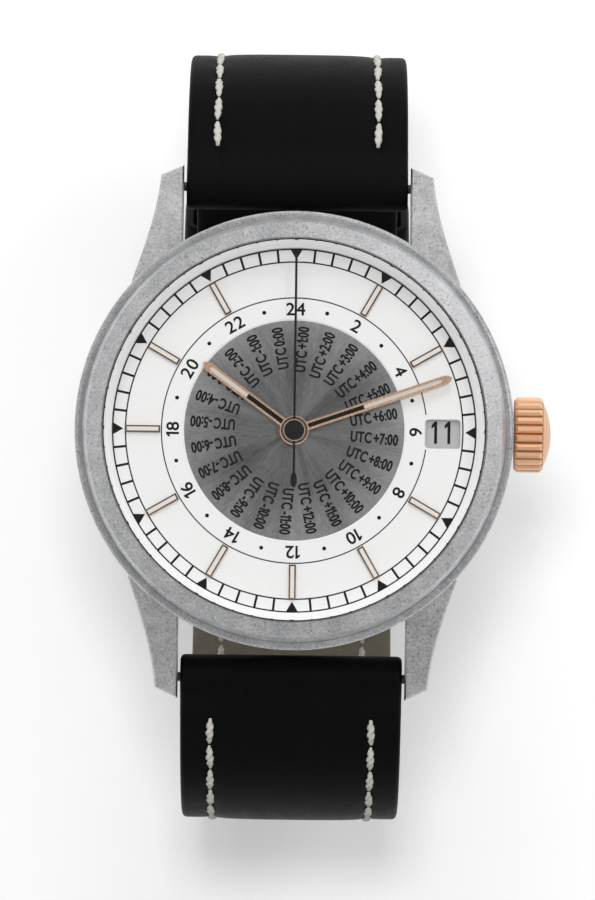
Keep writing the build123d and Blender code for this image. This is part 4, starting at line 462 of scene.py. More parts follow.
class Effects:
    """Holds the shared shader groups. All have Size and Depth inputs, in metres, and Mask and Normal outputs."""

    sockets = (("Size", "INPUT", "Float"), ("Depth", "INPUT", "Float"), ("Mask", "OUTPUT", "Float"),
               ("Normal", "OUTPUT", "Vector"))
    made: dict[str, bpy.types.ShaderNodeTree] = {}

    @staticmethod
    def edge_wear(bench: Bench, size: Socket) -> tuple[Socket, Socket]:
        """Work out where an edge turns paler: partly rubbed metal, partly a painted highlight where light would catch
        a rounded edge.

        Args:
            bench: The group's bench.
            size: The paler edge's width.

        Returns:
            How far the normal of rounded edges leaves the true one, and that rounded normal.
        """
        rounded = bench.node("Bevel", {"Radius": size}, samples=4).outputs[0]
        near = bench.vector("DOT_PRODUCT", rounded, bench.node("NewGeometry").outputs["Normal"])
        return bench.spread(near, 1.0, 0.0, 0.75, 0.995), rounded

    @classmethod
    def group(cls, name: str) -> bpy.types.ShaderNodeTree:
        """Return a shared group, made at its first use.

        Args:
            name: A pattern's name, or edge_wear.

        Returns:
            The group's tree.
        """
        if name not in cls.made:
            tree = cls.made[name] = bpy.data.node_groups.new(name, "ShaderNodeTree")
            for label, way, kind in cls.sockets:
                tree.interface.new_socket(label, in_out=way, socket_type="NodeSocket" + kind)
            size, depth = tree.nodes.new("NodeGroupInput").outputs[:2]
            if name == "edge_wear":
                bench = Bench(tree)
                mask, normal = cls.edge_wear(bench, size)
            else:
                bench = Marks(tree, size)
                mask = getattr(bench, name)()
                normal = bench.node("Bump", {"Height": mask, "Distance": depth, "Strength": 1.0}).outputs[0]
            bench.fill(tree.nodes.new("NodeGroupOutput").inputs, {"Mask": mask, "Normal": normal})
        return cls.made[name]

    @classmethod
    def add(cls, bench: Bench, name: str, size: float, depth: float = 0.0) -> bpy.types.bpy_prop_collection:
        """Put a group in a material, with its size and depth in millimetres, and return its outputs."""
        return bench.node("Group", {"Size": size * MM, "Depth": depth * MM}, node_tree=cls.group(name)).outputs


# Finishes


class Finish:
    """What a surface is dressed in. Each finish makes its material once."""

    kept: dict[str, bpy.types.Material] = {}
    name: str

    def material(self) -> bpy.types.Material:
        """Return the finish's material, made at its first use."""
        if self.name not in Finish.kept:
            made = Finish.kept[self.name] = bpy.data.materials.new(self.name)
            made.use_nodes = True
            self.dress(Bench(made.node_tree), made.node_tree.nodes["Principled BSDF"])
        return Finish.kept[self.name]

    def dress(self, bench: Bench, shader: bpy.types.Node) -> None:
        """Fill in the shader's sockets."""
        raise NotImplementedError


@dataclass(frozen=True)
class Surface(Finish):
    """An opaque finish: two colours and two roughnesses, shared out by a pattern, and paler edges, partly rubbed
    metal and partly painted highlight.

    Size and depth are the pattern's, in millimetres. Contrast is the range of its height that goes from the first
    colour to the second. The paler edge's width is in millimetres, and 0 leaves it out.
    """

    name: str
    colour: Colour
    second: Colour
    metallic: float = 0.0
    rough: Span = (0.4, 0.5)
    pattern: Pattern = Pattern.FINE
    size: float = 0.1
    depth: float = 0.002
    contrast: Span = (0.3, 0.7)
    # paler edge width and colour: partly rubbed metal, partly painted highlight
    wear: float = 0.0
    worn: Colour = 0.95
    coat: float = 0.0
    sheen: float = 0.0
    specular: float = 0.5

    def dress(self, bench: Bench, shader: bpy.types.Node) -> None:
        """Join the pattern's mask to colour and roughness, and its bump to the normal.

        Args:
            bench: The bench in the material's nodes.
            shader: The material's Principled BSDF.
        """
        marks = Effects.add(bench, self.pattern.value, self.size, self.depth)
        share = bench.spread(marks["Mask"], 0.0, 1.0, *self.contrast)
        colour = bench.blend(share, self.colour, self.second)
        if self.wear:
            # paler edges: partly rubbed metal, partly painted highlight
            colour = bench.blend(Effects.add(bench, "edge_wear", self.wear)["Mask"], colour, self.worn)
        bench.fill(shader.inputs, {
            "Base Color": colour,
            "Roughness": bench.spread(share, *self.rough),
            "Normal": marks["Normal"],
            "Metallic": self.metallic,
            "Coat Weight": self.coat,
            "Sheen Weight": self.sheen,
            "Specular IOR Level": self.specular,
        })


@dataclass(frozen=True)
class Glass(Finish):
    """Clear or tinted crystal, a little smeared, that lets light through to what lies under it."""

    name: str
    colour: Colour = 1.0
    index: float = 1.3
    rough: float = 0.0
    smear: float = 4.0

    def dress(self, bench: Bench, shader: bpy.types.Node) -> None:
        """Transmit in full, and be plainly transparent to shadow and diffuse rays.

        Args:
            bench: The bench in the material's nodes.
            shader: The material's Principled BSDF.
        """
        smears = Effects.add(bench, Pattern.FINE.value, self.smear)
        bench.fill(shader.inputs, {
            "Base Color": self.colour,
            "Roughness": bench.spread(smears["Mask"], self.rough, self.rough + 0.01),
            "Metallic": 0.0,
            "Transmission Weight": 1.0,
            "IOR": self.index,
        })
        path = bench.node("LightPath").outputs
        passing = bench.sum("MAXIMUM", path["Is Shadow Ray"], path["Is Diffuse Ray"])
        bench.show(passing, shader, bench.node("BsdfTransparent", {"Color": self.colour}))


@dataclass(frozen=True)
class FloorPaint(Finish):
    """White paint that keeps the shadow near the watch and shows plain white to the camera far off."""

    name: str = "floor"
    glow: float = 2.4
    share: Span = (0.09, 1.0)
    span: Span = (75 * MM, 260 * MM)

    def dress(self, bench: Bench, shader: bpy.types.Node) -> None:
        """Mix a glow into the paint that only the camera sees, by a share that grows with the distance.

        Args:
            bench: The bench in the material's nodes.
            shader: The material's Principled BSDF.
        """
        place = bench.node("TexCoord").outputs["Object"]
        colour = bench.blend(bench.noise(place, 300.0), 0.94, 0.96)
        bench.fill(shader.inputs, {"Base Color": colour, "Roughness": 0.9, "Specular IOR Level": 0.1})
        path = bench.node("LightPath").outputs
        seen = bench.sum("MAXIMUM", path["Is Camera Ray"], path["Is Transmission Ray"])
        share = bench.times(seen, bench.spread(bench.vector("LENGTH", place), *self.share, *self.span))
        bench.show(share, shader, bench.node("Emission", {"Color": 1.0, "Strength": self.glow}))


def metal(name: str, colour: Colour, second: Colour, rough: Span, pattern: Pattern, size: float,
          depth: float, wear: float = 0.0, worn: Colour = 0.95,
          contrast: Span = (0.3, 0.7)) -> Surface:
    """Return a metal finish."""
    return Surface(name, colour, second, 1.0, rough, pattern, size, depth, contrast, wear, worn)


BLASTED_STEEL = metal("blasted_steel", (0.35, 0.35, 0.36), 0.86, (0.36, 0.56), Pattern.BLASTED, 0.24, 0.024, 0.05,
                      contrast=(0.32, 0.62))
# The bezel's step carries painted shade, a darker band in its groove.
BEZEL_STEEL_SHADED_STEP = metal("bezel_steel_shaded_step", (0.34, 0.35, 0.36), (0.89, 0.89, 0.90), (0.34, 0.55), Pattern.STEPPED, 0.20, 0.024,
                    0.04, contrast=(0.30, 0.62))
DARK_STEEL = metal("dark_steel", (0.10, 0.10, 0.105), (0.18, 0.18, 0.185), (0.3, 0.42), Pattern.FINE, 0.08, 0.001)
GRAINED_PLATE = metal("grained_plate", (0.40, 0.40, 0.39), (0.50, 0.50, 0.49), (0.5, 0.62), Pattern.BLASTED, 0.10,
                      0.004)
TURNED_STEEL = metal("turned_steel", (0.60, 0.61, 0.62), (0.74, 0.74, 0.75), (0.26, 0.38), Pattern.TURNED, 0.05,
                     0.003, 0.04)
POLISHED_STEEL = metal("polished_steel", 0.72, 0.80, (0.10, 0.18), Pattern.BRUSHED, 0.05, 0.001, 0.04)
TRAIN_STEEL = metal("train_steel", (0.56, 0.56, 0.57), (0.68, 0.68, 0.69), (0.16, 0.26), Pattern.FINE, 0.08, 0.001)
SPRING_STEEL = metal("spring_steel", (0.18, 0.22, 0.42), (0.28, 0.32, 0.50), (0.20, 0.30), Pattern.FINE, 0.06,
                     0.001)
BLUED_STEEL = metal("blued_steel", (0.02, 0.04, 0.30), (0.05, 0.09, 0.42), (0.12, 0.20), Pattern.TURNED, 0.04,
                    0.001)
ROSE_GOLD = metal("rose_gold", (0.90, 0.56, 0.38), (0.97, 0.64, 0.45), (0.20, 0.30), Pattern.FINE, 0.25, 0.0005,
                  0.03, (0.97, 0.72, 0.55))
# The batons' gold is far darker than the hands' rose gold: painted dark reflection of the surroundings in their
# sides.
MARKER_GOLD_DARK_REFLECTION = metal("marker_gold_dark_reflection", (0.20, 0.13, 0.09), (0.34, 0.23, 0.165), (0.12, 0.20), Pattern.BRUSHED, 0.05,
                    0.001, 0.02, (0.80, 0.58, 0.45))
POLISHED_GOLD = metal("polished_gold", (0.92, 0.74, 0.60), (0.98, 0.82, 0.70), (0.10, 0.18), Pattern.FINE, 0.05,
                      0.001)
# The crown's dark brown first colour, which the flutes take, is painted shade in the grooves.
SATIN_GOLD_SHADED_FLUTES = Surface("satin_gold_shaded_flutes", (0.36, 0.14, 0.06), (1.0, 0.60, 0.36), 0.72, (0.24, 0.36), Pattern.FLUTED, 0.09,
                     0.004, (0.05, 0.80), 0.04, (1.0, 0.72, 0.50))
GILT_BRASS = metal("gilt_brass", (0.72, 0.52, 0.24), (0.84, 0.64, 0.34), (0.24, 0.36), Pattern.FINE, 0.08, 0.001)
SPOTTED_PLATE = metal("spotted_plate", (0.52, 0.51, 0.49), (0.74, 0.73, 0.70), (0.24, 0.38), Pattern.SPOTS, 0.9,
                      0.010, 0.03, (0.9, 0.9, 0.88), (0.1, 0.7))
STRIPED_RHODIUM = metal("striped_rhodium", 0.50, (0.76, 0.76, 0.75), (0.22, 0.34), Pattern.STRIPES, 1.3, 0.020,
                        0.03, 0.9, (0.1, 0.9))
TUNGSTEN = metal("tungsten", 0.42, 0.60, (0.26, 0.38), Pattern.STRIPES, 1.3, 0.020, 0.04, 0.8, (0.1, 0.9))
# The city disc's lighter sectors and lighter outer part are in part painted reflection.
SUNBURST_GREY = metal("sunburst_grey", (0.05, 0.05, 0.051), 0.47, (0.26, 0.40), Pattern.SUNBURST, 0.1, 0.014,
                      contrast=(0.30, 0.80))
SILVERED_RING = Surface("silvered_ring", 0.88, 0.94, rough=(0.32, 0.42), pattern=Pattern.TURNED, size=0.06,
                        depth=0.001)
DIAL_WHITE = Surface("dial_white", (0.77, 0.77, 0.765), (0.82, 0.82, 0.815), rough=(0.42, 0.55), size=0.12,
                     specular=0.35)
DATE_GREY = Surface("date_grey", 0.40, 0.46, rough=(0.42, 0.52), depth=0.001)
BLACK_LACQUER = Surface("black_lacquer", 0.002, 0.005, rough=(0.14, 0.24), size=0.08, depth=0.001, specular=0.22)
BLACK_PRINT = Surface("black_print", 0.0015, 0.004, rough=(0.45, 0.6), size=0.05, depth=0.001, specular=0.06)
LUME = Surface("lume", (0.66, 0.62, 0.57), (0.76, 0.72, 0.67), rough=(0.35, 0.5), size=0.07, depth=0.003, coat=0.3)
HAND_LUME = Surface("hand_lume", (0.54, 0.47, 0.41), (0.64, 0.57, 0.50), rough=(0.35, 0.5), size=0.07, depth=0.003,
                    coat=0.3)
RED_JEWEL = Glass("red_jewel", (0.75, 0.03, 0.10), 1.5, 0.03)
SAPPHIRE = Glass("sapphire")
CLEAR_NYLON = Surface("clear_nylon", 0.72, 0.80, rough=(0.3, 0.4), depth=0.001)
BLACK_RUBBER = Surface("black_rubber", 0.020, 0.04, rough=(0.55, 0.7), depth=0.004)
GREY_PLASTIC = Surface("moulded_plastic", (0.10, 0.10, 0.11), (0.15, 0.15, 0.16), rough=(0.4, 0.55), size=0.2,
                       depth=0.006)
BLACK_LEATHER = Surface("black_leather", 0.0020, (0.0042, 0.0041, 0.0040), rough=(0.40, 0.58),
                        pattern=Pattern.PEBBLED, size=0.34, depth=0.016, contrast=(0.2, 0.9), specular=0.07)
TAN_LINING = Surface("tan_lining", (0.145, 0.130, 0.096), (0.21, 0.19, 0.145), rough=(0.6, 0.8),
                     pattern=Pattern.SUEDE, depth=0.020, sheen=0.05, specular=0.2)
LINEN_THREAD = Surface("linen_thread", (0.46, 0.44, 0.40), (0.70, 0.68, 0.63), rough=(0.6, 0.8),
                       pattern=Pattern.BRUSHED, size=0.05, depth=0.010, sheen=0.2)

# Each finish with the CAD nodes that wear it
NODE_FINISH: tuple[tuple[Finish, str], ...] = (
    (BLASTED_STEEL, "case_middle"),
    (BEZEL_STEEL_SHADED_STEP, "bezel"),
    (SAPPHIRE, "crystal back_crystal"),
    (CLEAR_NYLON, "crystal_gasket"),
    (SILVERED_RING, "rehaut_ring"),
    (DIAL_WHITE, "dial"),
    (MARKER_GOLD_DARK_REFLECTION, "hour_markers"),
    (TURNED_STEEL, "case_back crown_tube ratchet_wheel buckle_frame"),
    (BLACK_RUBBER, "case_back_gasket crown_gasket"),
    (POLISHED_STEEL, "case_back_screws date_jumper click rotor_bearing buckle_bar buckle_tongue"),
    (GREY_PLASTIC, "movement_ring"),
    (GRAINED_PLATE, "mainplate"),
    (STRIPED_RHODIUM, "barrel_bridge train_bridge balance_cock"),
    (SPOTTED_PLATE, "pallet_bridge"),
    (BLUED_STEEL, "bridge_screws"),
    (RED_JEWEL, "jewels"),
    (SPRING_STEEL, "hairspring mainspring"),
    (DARK_STEEL, "spring_bars"),
    (BLACK_LACQUER, "seconds_hand"),
    (ROSE_GOLD, "minute_hand hour_hand"),
    (GILT_BRASS, "barrel second_wheel third_wheel fourth_wheel minute_wheel hour_wheel day_wheel balance_wheel"),
    (GILT_BRASS, "rotor_plate"),
    (TRAIN_STEEL, "cannon_pinion escape_wheel pallet_fork crown_wheel stem_pinions winding_stem"),
    (SUNBURST_GREY, "city_disc"),
    (SATIN_GOLD_SHADED_FLUTES, "crown"),
    (DATE_GREY, "date_disc"),
    (TUNGSTEN, "rotor_weight"),
)


def dress_frame() -> None:
    """Give every CAD node that shows its finish."""
    for finish, names in NODE_FINISH:
        for name in names.split():
            mesh = frame["nodes"][name].data
            mesh.materials.clear()
            mesh.materials.append(finish.material())
            log.info("%s: dressed in %s", name, finish.name)


# Dial work


class Lettering:
    """Turns words into raised print. Glyphs are kept flat, one unit high, each starting at x = 0."""

    gap: float = 0.15
    space: float = 0.26
    capital: float = 0.70
    one: tuple[Span, ...] = ((0.17, 0), (0.30, 0), (0.30, 1), (0.20, 1), (0.0, 0.84), (0.0, 0.71), (0.17, 0.82))
    fan: tuple[tuple[int, int, int], ...] = ((0, 1, 6), (1, 2, 6), (2, 3, 6), (3, 4, 6), (4, 5, 6))
    kept: dict[str, tuple[Array, Array]] = {}

    @classmethod
    def glyph(cls, letter: str) -> tuple[Array, Array]:
        """Return a letter's flat shape, made at its first use. The one is drawn here, with its flag.

        Args:
            letter: The letter or numeral.

        Returns:
            Its points and its triangles.
        """
        if letter not in cls.kept:
            points, faces = (np.array(cls.one), np.array(cls.fan)) if letter == "1" else cls.drawn(letter)
            cls.kept[letter] = points - [points[:, 0].min(), 0], faces
        return cls.kept[letter]

    @classmethod
    def drawn(cls, letter: str) -> tuple[Array, Array]:
        """Draw a letter of the built-in type.

        Args:
            letter: The letter or numeral.

        Returns:
            Its flat points, with doubled ones joined, and its triangles.
        """
        curve = bpy.data.curves.new("letter", "FONT")
        curve.body, curve.size, curve.resolution_u = letter, 1.0 / cls.capital, 4
        thing = bpy.data.objects.new("letter", curve)
        bpy.context.scene.collection.objects.link(thing)
        mesh = bpy.data.meshes.new_from_object(thing.evaluated_get(bpy.context.evaluated_depsgraph_get()))
        mesh.calc_loop_triangles()
        points = np.empty(3 * len(mesh.vertices))
        mesh.vertices.foreach_get("co", points)
        corners = np.empty(3 * len(mesh.loop_triangles), dtype=np.int64)
        mesh.loop_triangles.foreach_get("vertices", corners)
        for block, holder in ((thing, bpy.data.objects), (curve, bpy.data.curves), (mesh, bpy.data.meshes)):
            holder.remove(block)
        flat, merged = np.unique(np.round(points.reshape(-1, 3)[:, :2], 5), axis=0, return_inverse=True)
        faces = merged.reshape(-1)[corners].reshape(-1, 3)
        return flat, faces[(faces != np.roll(faces, 1, axis=1)).all(axis=1)]

    @classmethod
    def word(cls, text: str, height: float, squeeze: float, thick: float, bold: float = 0.0) -> Shape:
        """Return a word in print, centred on the origin.

        Args:
            text: The word.
            height: How high a capital or a numeral stands.
            squeeze: Share of the plain width that is kept.
            thick: Thickness of the ink.
            bold: How far each outline is moved outwards.

        Returns:
            The print, lying on height 0.
        """
        places, tables, count, pen = [], [], 0, 0.0
        for letter in text:
            if letter == " ":
                pen += cls.space
                continue
            points, faces = cls.glyph(letter)
            places.append(points + [pen, 0])
            tables.append(faces + count)
            count += len(points)
            pen += points[:, 0].max() + cls.gap
        flat = (np.concatenate(places) - [(pen - cls.gap) / 2, 0.5]) * [height * squeeze, height]
        return cls.raised(flat, np.concatenate(tables), thick, bold)

    @staticmethod
    def raised(flat: Array, faces: Array, thick: float, bold: float) -> Shape:
        """Return flat triangles as closed print, with a wall along each open edge and the outline moved outwards.

        An edge is open where no other triangle has it the other way round. A corner moves along the sum of its two
        edges' normals, twice that sum over its squared length, which keeps both edges at the bold distance.

        Args:
            flat: The points, as x and y.
            faces: The triangles.
            thick: Thickness of the ink.
            bold: How far the outline moves.

        Returns:
            The closed print.
        """
        a, b, c = (flat[faces[:, k]] for k in range(3))
        if float(np.cross(b - a, c - a).sum()) < 0:
            faces = faces[:, ::-1]
        edges = np.concatenate([faces[:, [0, 1]], faces[:, [1, 2]], faces[:, [2, 0]]])
        count = len(flat)
        rim = edges[~np.isin(edges[:, 0] * count + edges[:, 1], edges[:, 1] * count + edges[:, 0])]
        along = flat[rim[:, 1]] - flat[rim[:, 0]]
        normal = unit(np.column_stack([along[:, 1], -along[:, 0]]))
        total = np.zeros_like(flat)
        np.add.at(total, rim[:, 0], normal)
        np.add.at(total, rim[:, 1], normal)
        shift = 2 * total / np.maximum((total**2).sum(axis=1, keepdims=True), 0.6)
        flat = flat + bold * shift
        walls = np.stack([rim[:, 0], rim[:, 1], rim[:, 1] + count, rim[:, 0] + count], -1)
        points = np.concatenate([np.column_stack([flat, np.full(count, level)]) for level in (0.0, thick)])
        return Shape(points, [faces[:, ::-1], faces + count, walls]).outward()


@dataclass
class DialPrint:
    """The black print on the fixed dial: minute track, ring of 24 hours and the thin circle between them."""

    face: float = 8.5
    ink: float = 0.012
    track_inner: float = 14.78
    track_outer: float = 15.90
    line: float = 0.12
    tick: float = 0.205
    triangle_base: float = 1.08
    triangle_height: float = 0.92
    circle: float = 11.63
    circle_line: float = 0.10
    window_half: float = 1.52
    numeral_radius: float = 10.66
    numeral_height: float = 1.08
    numeral_squeeze: float = 1.06
    numeral_bold: float = 0.026
    dot_radius: float = 0.175

    def ring(self, radius: float, line: float, start: float = 0.0, end: float = TURN) -> Shape:
        """Return a printed circle, or a part of one."""
        low = self.face + FOOT
        return ring_band(radius - line / 2, radius + line / 2, low, low + self.ink, start, end)

    def track(self) -> Shape:
        """Return the minute track: two circles, a tick at each minute and a triangle at each fifth."""
        low, high = self.face + FOOT, self.face + FOOT + self.ink
        tick = bar(self.track_inner, self.track_outer, self.tick, low, high)
        half = self.triangle_base / 2
        arrow = prism([(self.track_outer, -half), (self.track_outer, half),
                       (self.track_outer - self.triangle_height, 0)], low, high)
        marks = [(arrow if minute % 5 == 0 else tick).turned(TURN * minute / 60) for minute in range(60)]
        rings = [self.ring(self.track_inner, self.line), self.ring(self.track_outer, self.line)]
        return Shape.join(marks + rings)

    def hours(self) -> Shape:
        """Return the even numerals to 24, tops outwards, with a dot at each odd hour, and the thin circle."""
        low, high = self.face + FOOT, self.face + FOOT + self.ink
        made = []
        for hour in range(2, 26, 2):
            word = Lettering.word(str(hour), self.numeral_height, self.numeral_squeeze, self.ink, self.numeral_bold)
            made.append(word.moved(0, self.numeral_radius, low).turned(-TURN * hour / 24))
        a = np.linspace(0, TURN, 20, endpoint=False)
        dot = np.column_stack([self.numeral_radius + self.dot_radius * np.cos(a), self.dot_radius * np.sin(a)])
        made += [prism(dot, low, high).turned(math.pi / 2 - TURN * hour / 24) for hour in range(1, 24, 2)]
        gap = math.asin(self.window_half / self.circle)
        return Shape.join([*made, self.ring(self.circle, self.circle_line, gap, TURN - gap)])

    def build(self) -> None:
        """Make both prints."""
        self.track().piece("minute_track_print", "head", BLACK_PRINT, "hand_black")
        self.hours().piece("day_hours_print", "head", BLACK_PRINT, "hand_black")


@dataclass
class DialTrim:
    """The bevelled lip of the dial's opening and what finishes the edge of the crystal.

    Edge is where the sloped ring's bevel begins, as radius and height.
    """

    face: float = 8.5
    opening: float = 9.8
    lip: float = 0.15
    lip_drop: float = 0.075
    lip_over: float = 0.07
    seat: float = 10.3
    seat_inner: float = 16.40
    glass: float = 16.58
    seal_top: float = 11.15
    seal_outer: float = 16.74
    line: float = 0.08
    minute_mark: float = 0.15
    fifth_mark: float = 0.32
    edge: Span = (15.99, 9.88)

    def lip_ring(self) -> Shape:
        """Return the lip: a slope from the dial's face down over the edge of the turning disc."""
        r, z, drop, over = self.opening, self.face, self.lip_drop, self.lip_over
        return carried([(r - self.lip, z - drop), (r - 0.005, z - drop), (r - 0.005, z + 0.002),
                        (r + over, z + 0.002), (r + over, z + 0.006), (r, z + 0.010), (r - self.lip, z - 0.060)])

    def bevel_ring(self) -> Shape:
        """Return the sloped ring's upper edge: a bevel that rises outwards to just under the crystal."""
        (r, z), top, rim = self.edge, self.seat - 0.004, self.seat_inner - 0.002
        return carried([(r, z), (r + 0.32, z), (rim, top - 0.026), (rim, top), (r + 0.37, top)])

    def seal_marks(self) -> Shape:
        """Return a thin dark line round the crystal, painted shade, and a short mark at each minute, longer at each
        fifth, painted reflection of the minute track.
        """
        low, high = self.seal_top + 0.001, self.seal_top + 0.007
        inner = self.seal_outer - self.line
        # painted shade: a thin dark line round the crystal's edge
        made = [ring_band(inner, self.seal_outer, low, high)]
        # painted reflection of the minute track: a dark mark at each minute, longer at each fifth
        for minute in range(60):
            width = self.minute_mark if minute % 5 else self.fifth_mark
            mark = bar(self.glass + 0.03, inner + 0.01, width, low, high + 0.001)
            made.append(mark.turned(TURN * minute / 60))
        return Shape.join(made)

    def build(self) -> None:
        """Make the lip, the pale seat of the crystal, the bevel under it and, at its edge, the painted shade line and
        painted reflections.
        """
        self.lip_ring().piece("dial_lip", "head", DIAL_WHITE, "dial_white", 20)
        seat = ring_band(self.seat_inner, self.glass - 0.01, self.seat + 0.0005, self.seat + 0.003)
        seat.piece("crystal_seat", "head", SILVERED_RING, "dial_white")
        self.bevel_ring().piece("rehaut_bevel", "head", SILVERED_RING, "dial_white", 20)
        self.seal_marks().piece("crystal_edge_painted_shade_and_reflections", "head", BLACK_PRINT, "hand_black")


@dataclass
class ZonePrint:
    """The labels of the turning disc: the offset of each of 24 time zones, reading outwards."""

    face: float = 8.4
    ink: float = 0.012
    outer: float = 9.15
    height: float = 0.92
    squeeze: float = 0.68
    bold: float = 0.040
    turn: float = math.radians(-10.4)

    def labels(self) -> list[str]:
        """Return the 24 labels in clockwise order from the zone of no offset."""
        hours = [0, *range(1, 13), *range(-11, 0)]
        return ["UTC 0:00" if hour == 0 else f"UTC {hour:+d}:00" for hour in hours]

    def build(self) -> None:
        """Print each label with its end at the same distance from the centre."""
        made = []
        for count, text in enumerate(self.labels()):
            word = Lettering.word(text, self.height, self.squeeze, self.ink, self.bold)
            placed = word.moved(self.outer - word.points[:, 0].max(), 0, self.face + FOOT)
            made.append(placed.turned(math.pi / 2 - self.turn - TURN * count / 24))
        Shape.join(made).piece("zone_print", "time_zone_disc", BLACK_PRINT, "hand_black")


@dataclass
class DatePrint:
    """The 31 dates on the date disc, the eleventh in the window."""

    disc: float = 7.92
    inner: float = 11.38
    outer: float = 14.84
    paper: float = 0.012
    ink: float = 0.012
    centre: float = 12.86
    height: float = 1.90
    squeeze: float = 0.76
    advance: float = 1.16
    bold: float = 0.034
    shown: int = 11

    def build(self) -> None:
        """Face the disc over its teeth and print each date upright where the window shows it."""
        low = self.disc + 0.001
        ring_band(self.inner, self.outer, low, low + self.paper).piece("date_face", "date", DATE_GREY, "date_white")
        made = []
        for day in range(1, 32):
            digits, turn = str(day), TURN * (day - self.shown) / 31
            for place, digit in enumerate(digits):
                shape = Lettering.word(digit, self.height, self.squeeze, self.ink, self.bold)
                x = self.centre + self.advance * (place - (len(digits) - 1) / 2)
                made.append(shape.moved(x, 0, low + self.paper + FOOT).turned(turn))
        Shape.join(made).piece("date_print", "date", BLACK_PRINT, "hand_black")


@dataclass(frozen=True)
class Blade:
    """One slotted hand: its body, width, bearing in degrees from +X, upper face, and where its two parts run."""

    name: str
    body: str
    width: float
    bearing: float
    top: float
    black: Span
    pale: Span


@dataclass
class HandInlays:
    """What dresses the hour and minute hands: a black line from the hub, luminous paint in the slot beyond it."""

    blades: tuple[Blade, ...] = (
        Blade("hour_hand", "hours", 0.8, 90 - 306, 9.0, (1.30, 5.1), (5.1, 9.25)),
        Blade("minute_hand", "minutes", 0.76, 90 - 70.8, 9.45, (1.30, 6.45), (6.45, 13.7)),
    )
    rim: float = 0.20
    gap: float = 0.005
    sunk: float = 0.05
    thick: float = 0.10
    ink: float = 0.014
    point: float = 0.31

    def build(self) -> None:
        """Fill each hand's slot, pointed at its end, and line its root."""
        for blade in self.blades:
            bearing, high = math.radians(blade.bearing), blade.top - self.sunk
            inner = blade.width - 2 * self.rim - 2 * self.gap
            half, start, end = inner / 2, blade.pale[0] + self.gap, blade.pale[1] - 2 * self.gap
            upper = [(start, half), (end - self.point, half), (end - self.point / 2, 0.7 * half)]
            outline = upper + [(end, 0.0)] + [(x, -y) for x, y in reversed(upper)]
            fill = prism(outline, high - self.thick, high).turned(bearing)
            fill.piece(f"{blade.name}_lume", blade.body, HAND_LUME, "dial_white")
            line = bar(*blade.black, inner + 2 * self.gap, blade.top + FOOT, blade.top + self.ink).turned(bearing)
            line.piece(f"{blade.name}_black", blade.body, BLACK_PRINT, "hand_black")


@dataclass
class HandHub:
    """The domed cap on the seconds hand and a dark ring on the minute hand's hub round it, painted reflection."""

    top: float = 10.0
    dome: float = 0.10
    rim_inner: float = 0.88
    rim_outer: float = 0.955
    hub: float = 9.45
    ring: Span = (1.045, 1.16)

    def build(self) -> None:
        """Make the dome as a turned profile with a centre point, its bright rim and, below, the dark ring of painted
        reflection.
        """
        low = self.top + FOOT
        peak = low + self.dome
        a = np.linspace(0, math.pi / 2, 8)[:-1]
        rise = np.column_stack([self.rim_inner * np.cos(a), low + self.dome * np.sin(a)])
        section = np.vstack([(0.02, low), rise, (0.16, peak), (0.14, peak + 0.02), (0.02, peak + 0.025)])
        carried(section).piece("seconds_cap_dome", "seconds", BLACK_LACQUER, "hand_black", 50)
        rim = ring_band(self.rim_inner + 0.005, self.rim_outer, low, low + 0.02)
        rim.piece("seconds_cap_rim", "seconds", POLISHED_GOLD, "rose_gold")
        # painted reflection: a black ring on the hub where the polished metal would mirror something dark
        ring = ring_band(*self.ring, self.hub + FOOT, self.hub + 0.010)
        ring.piece("minute_hub_painted_reflection", "minutes", BLACK_LACQUER, "hand_black")


@dataclass
class MarkerInlays:
    """The pale strip on top of each baton."""

    hours: tuple[int, ...] = (1, 2, 4, 5, 6, 7, 8, 9, 10, 11)
    inner: float = 11.75
    outer: float = 14.8
    edge: float = 0.14
    width: float = 0.34
    top: float = 8.85
    ink: float = 0.012

    def build(self) -> None:
        """Lay a strip on each baton's flat top."""
        strip = bar(self.inner + self.edge, self.outer - self.edge, self.width, self.top + FOOT, self.top + self.ink)
        made = [strip.turned(clock_angle(hour)) for hour in self.hours]
        Shape.join(made).piece("marker_lume", "head", LUME, "dial_white")


# The strap


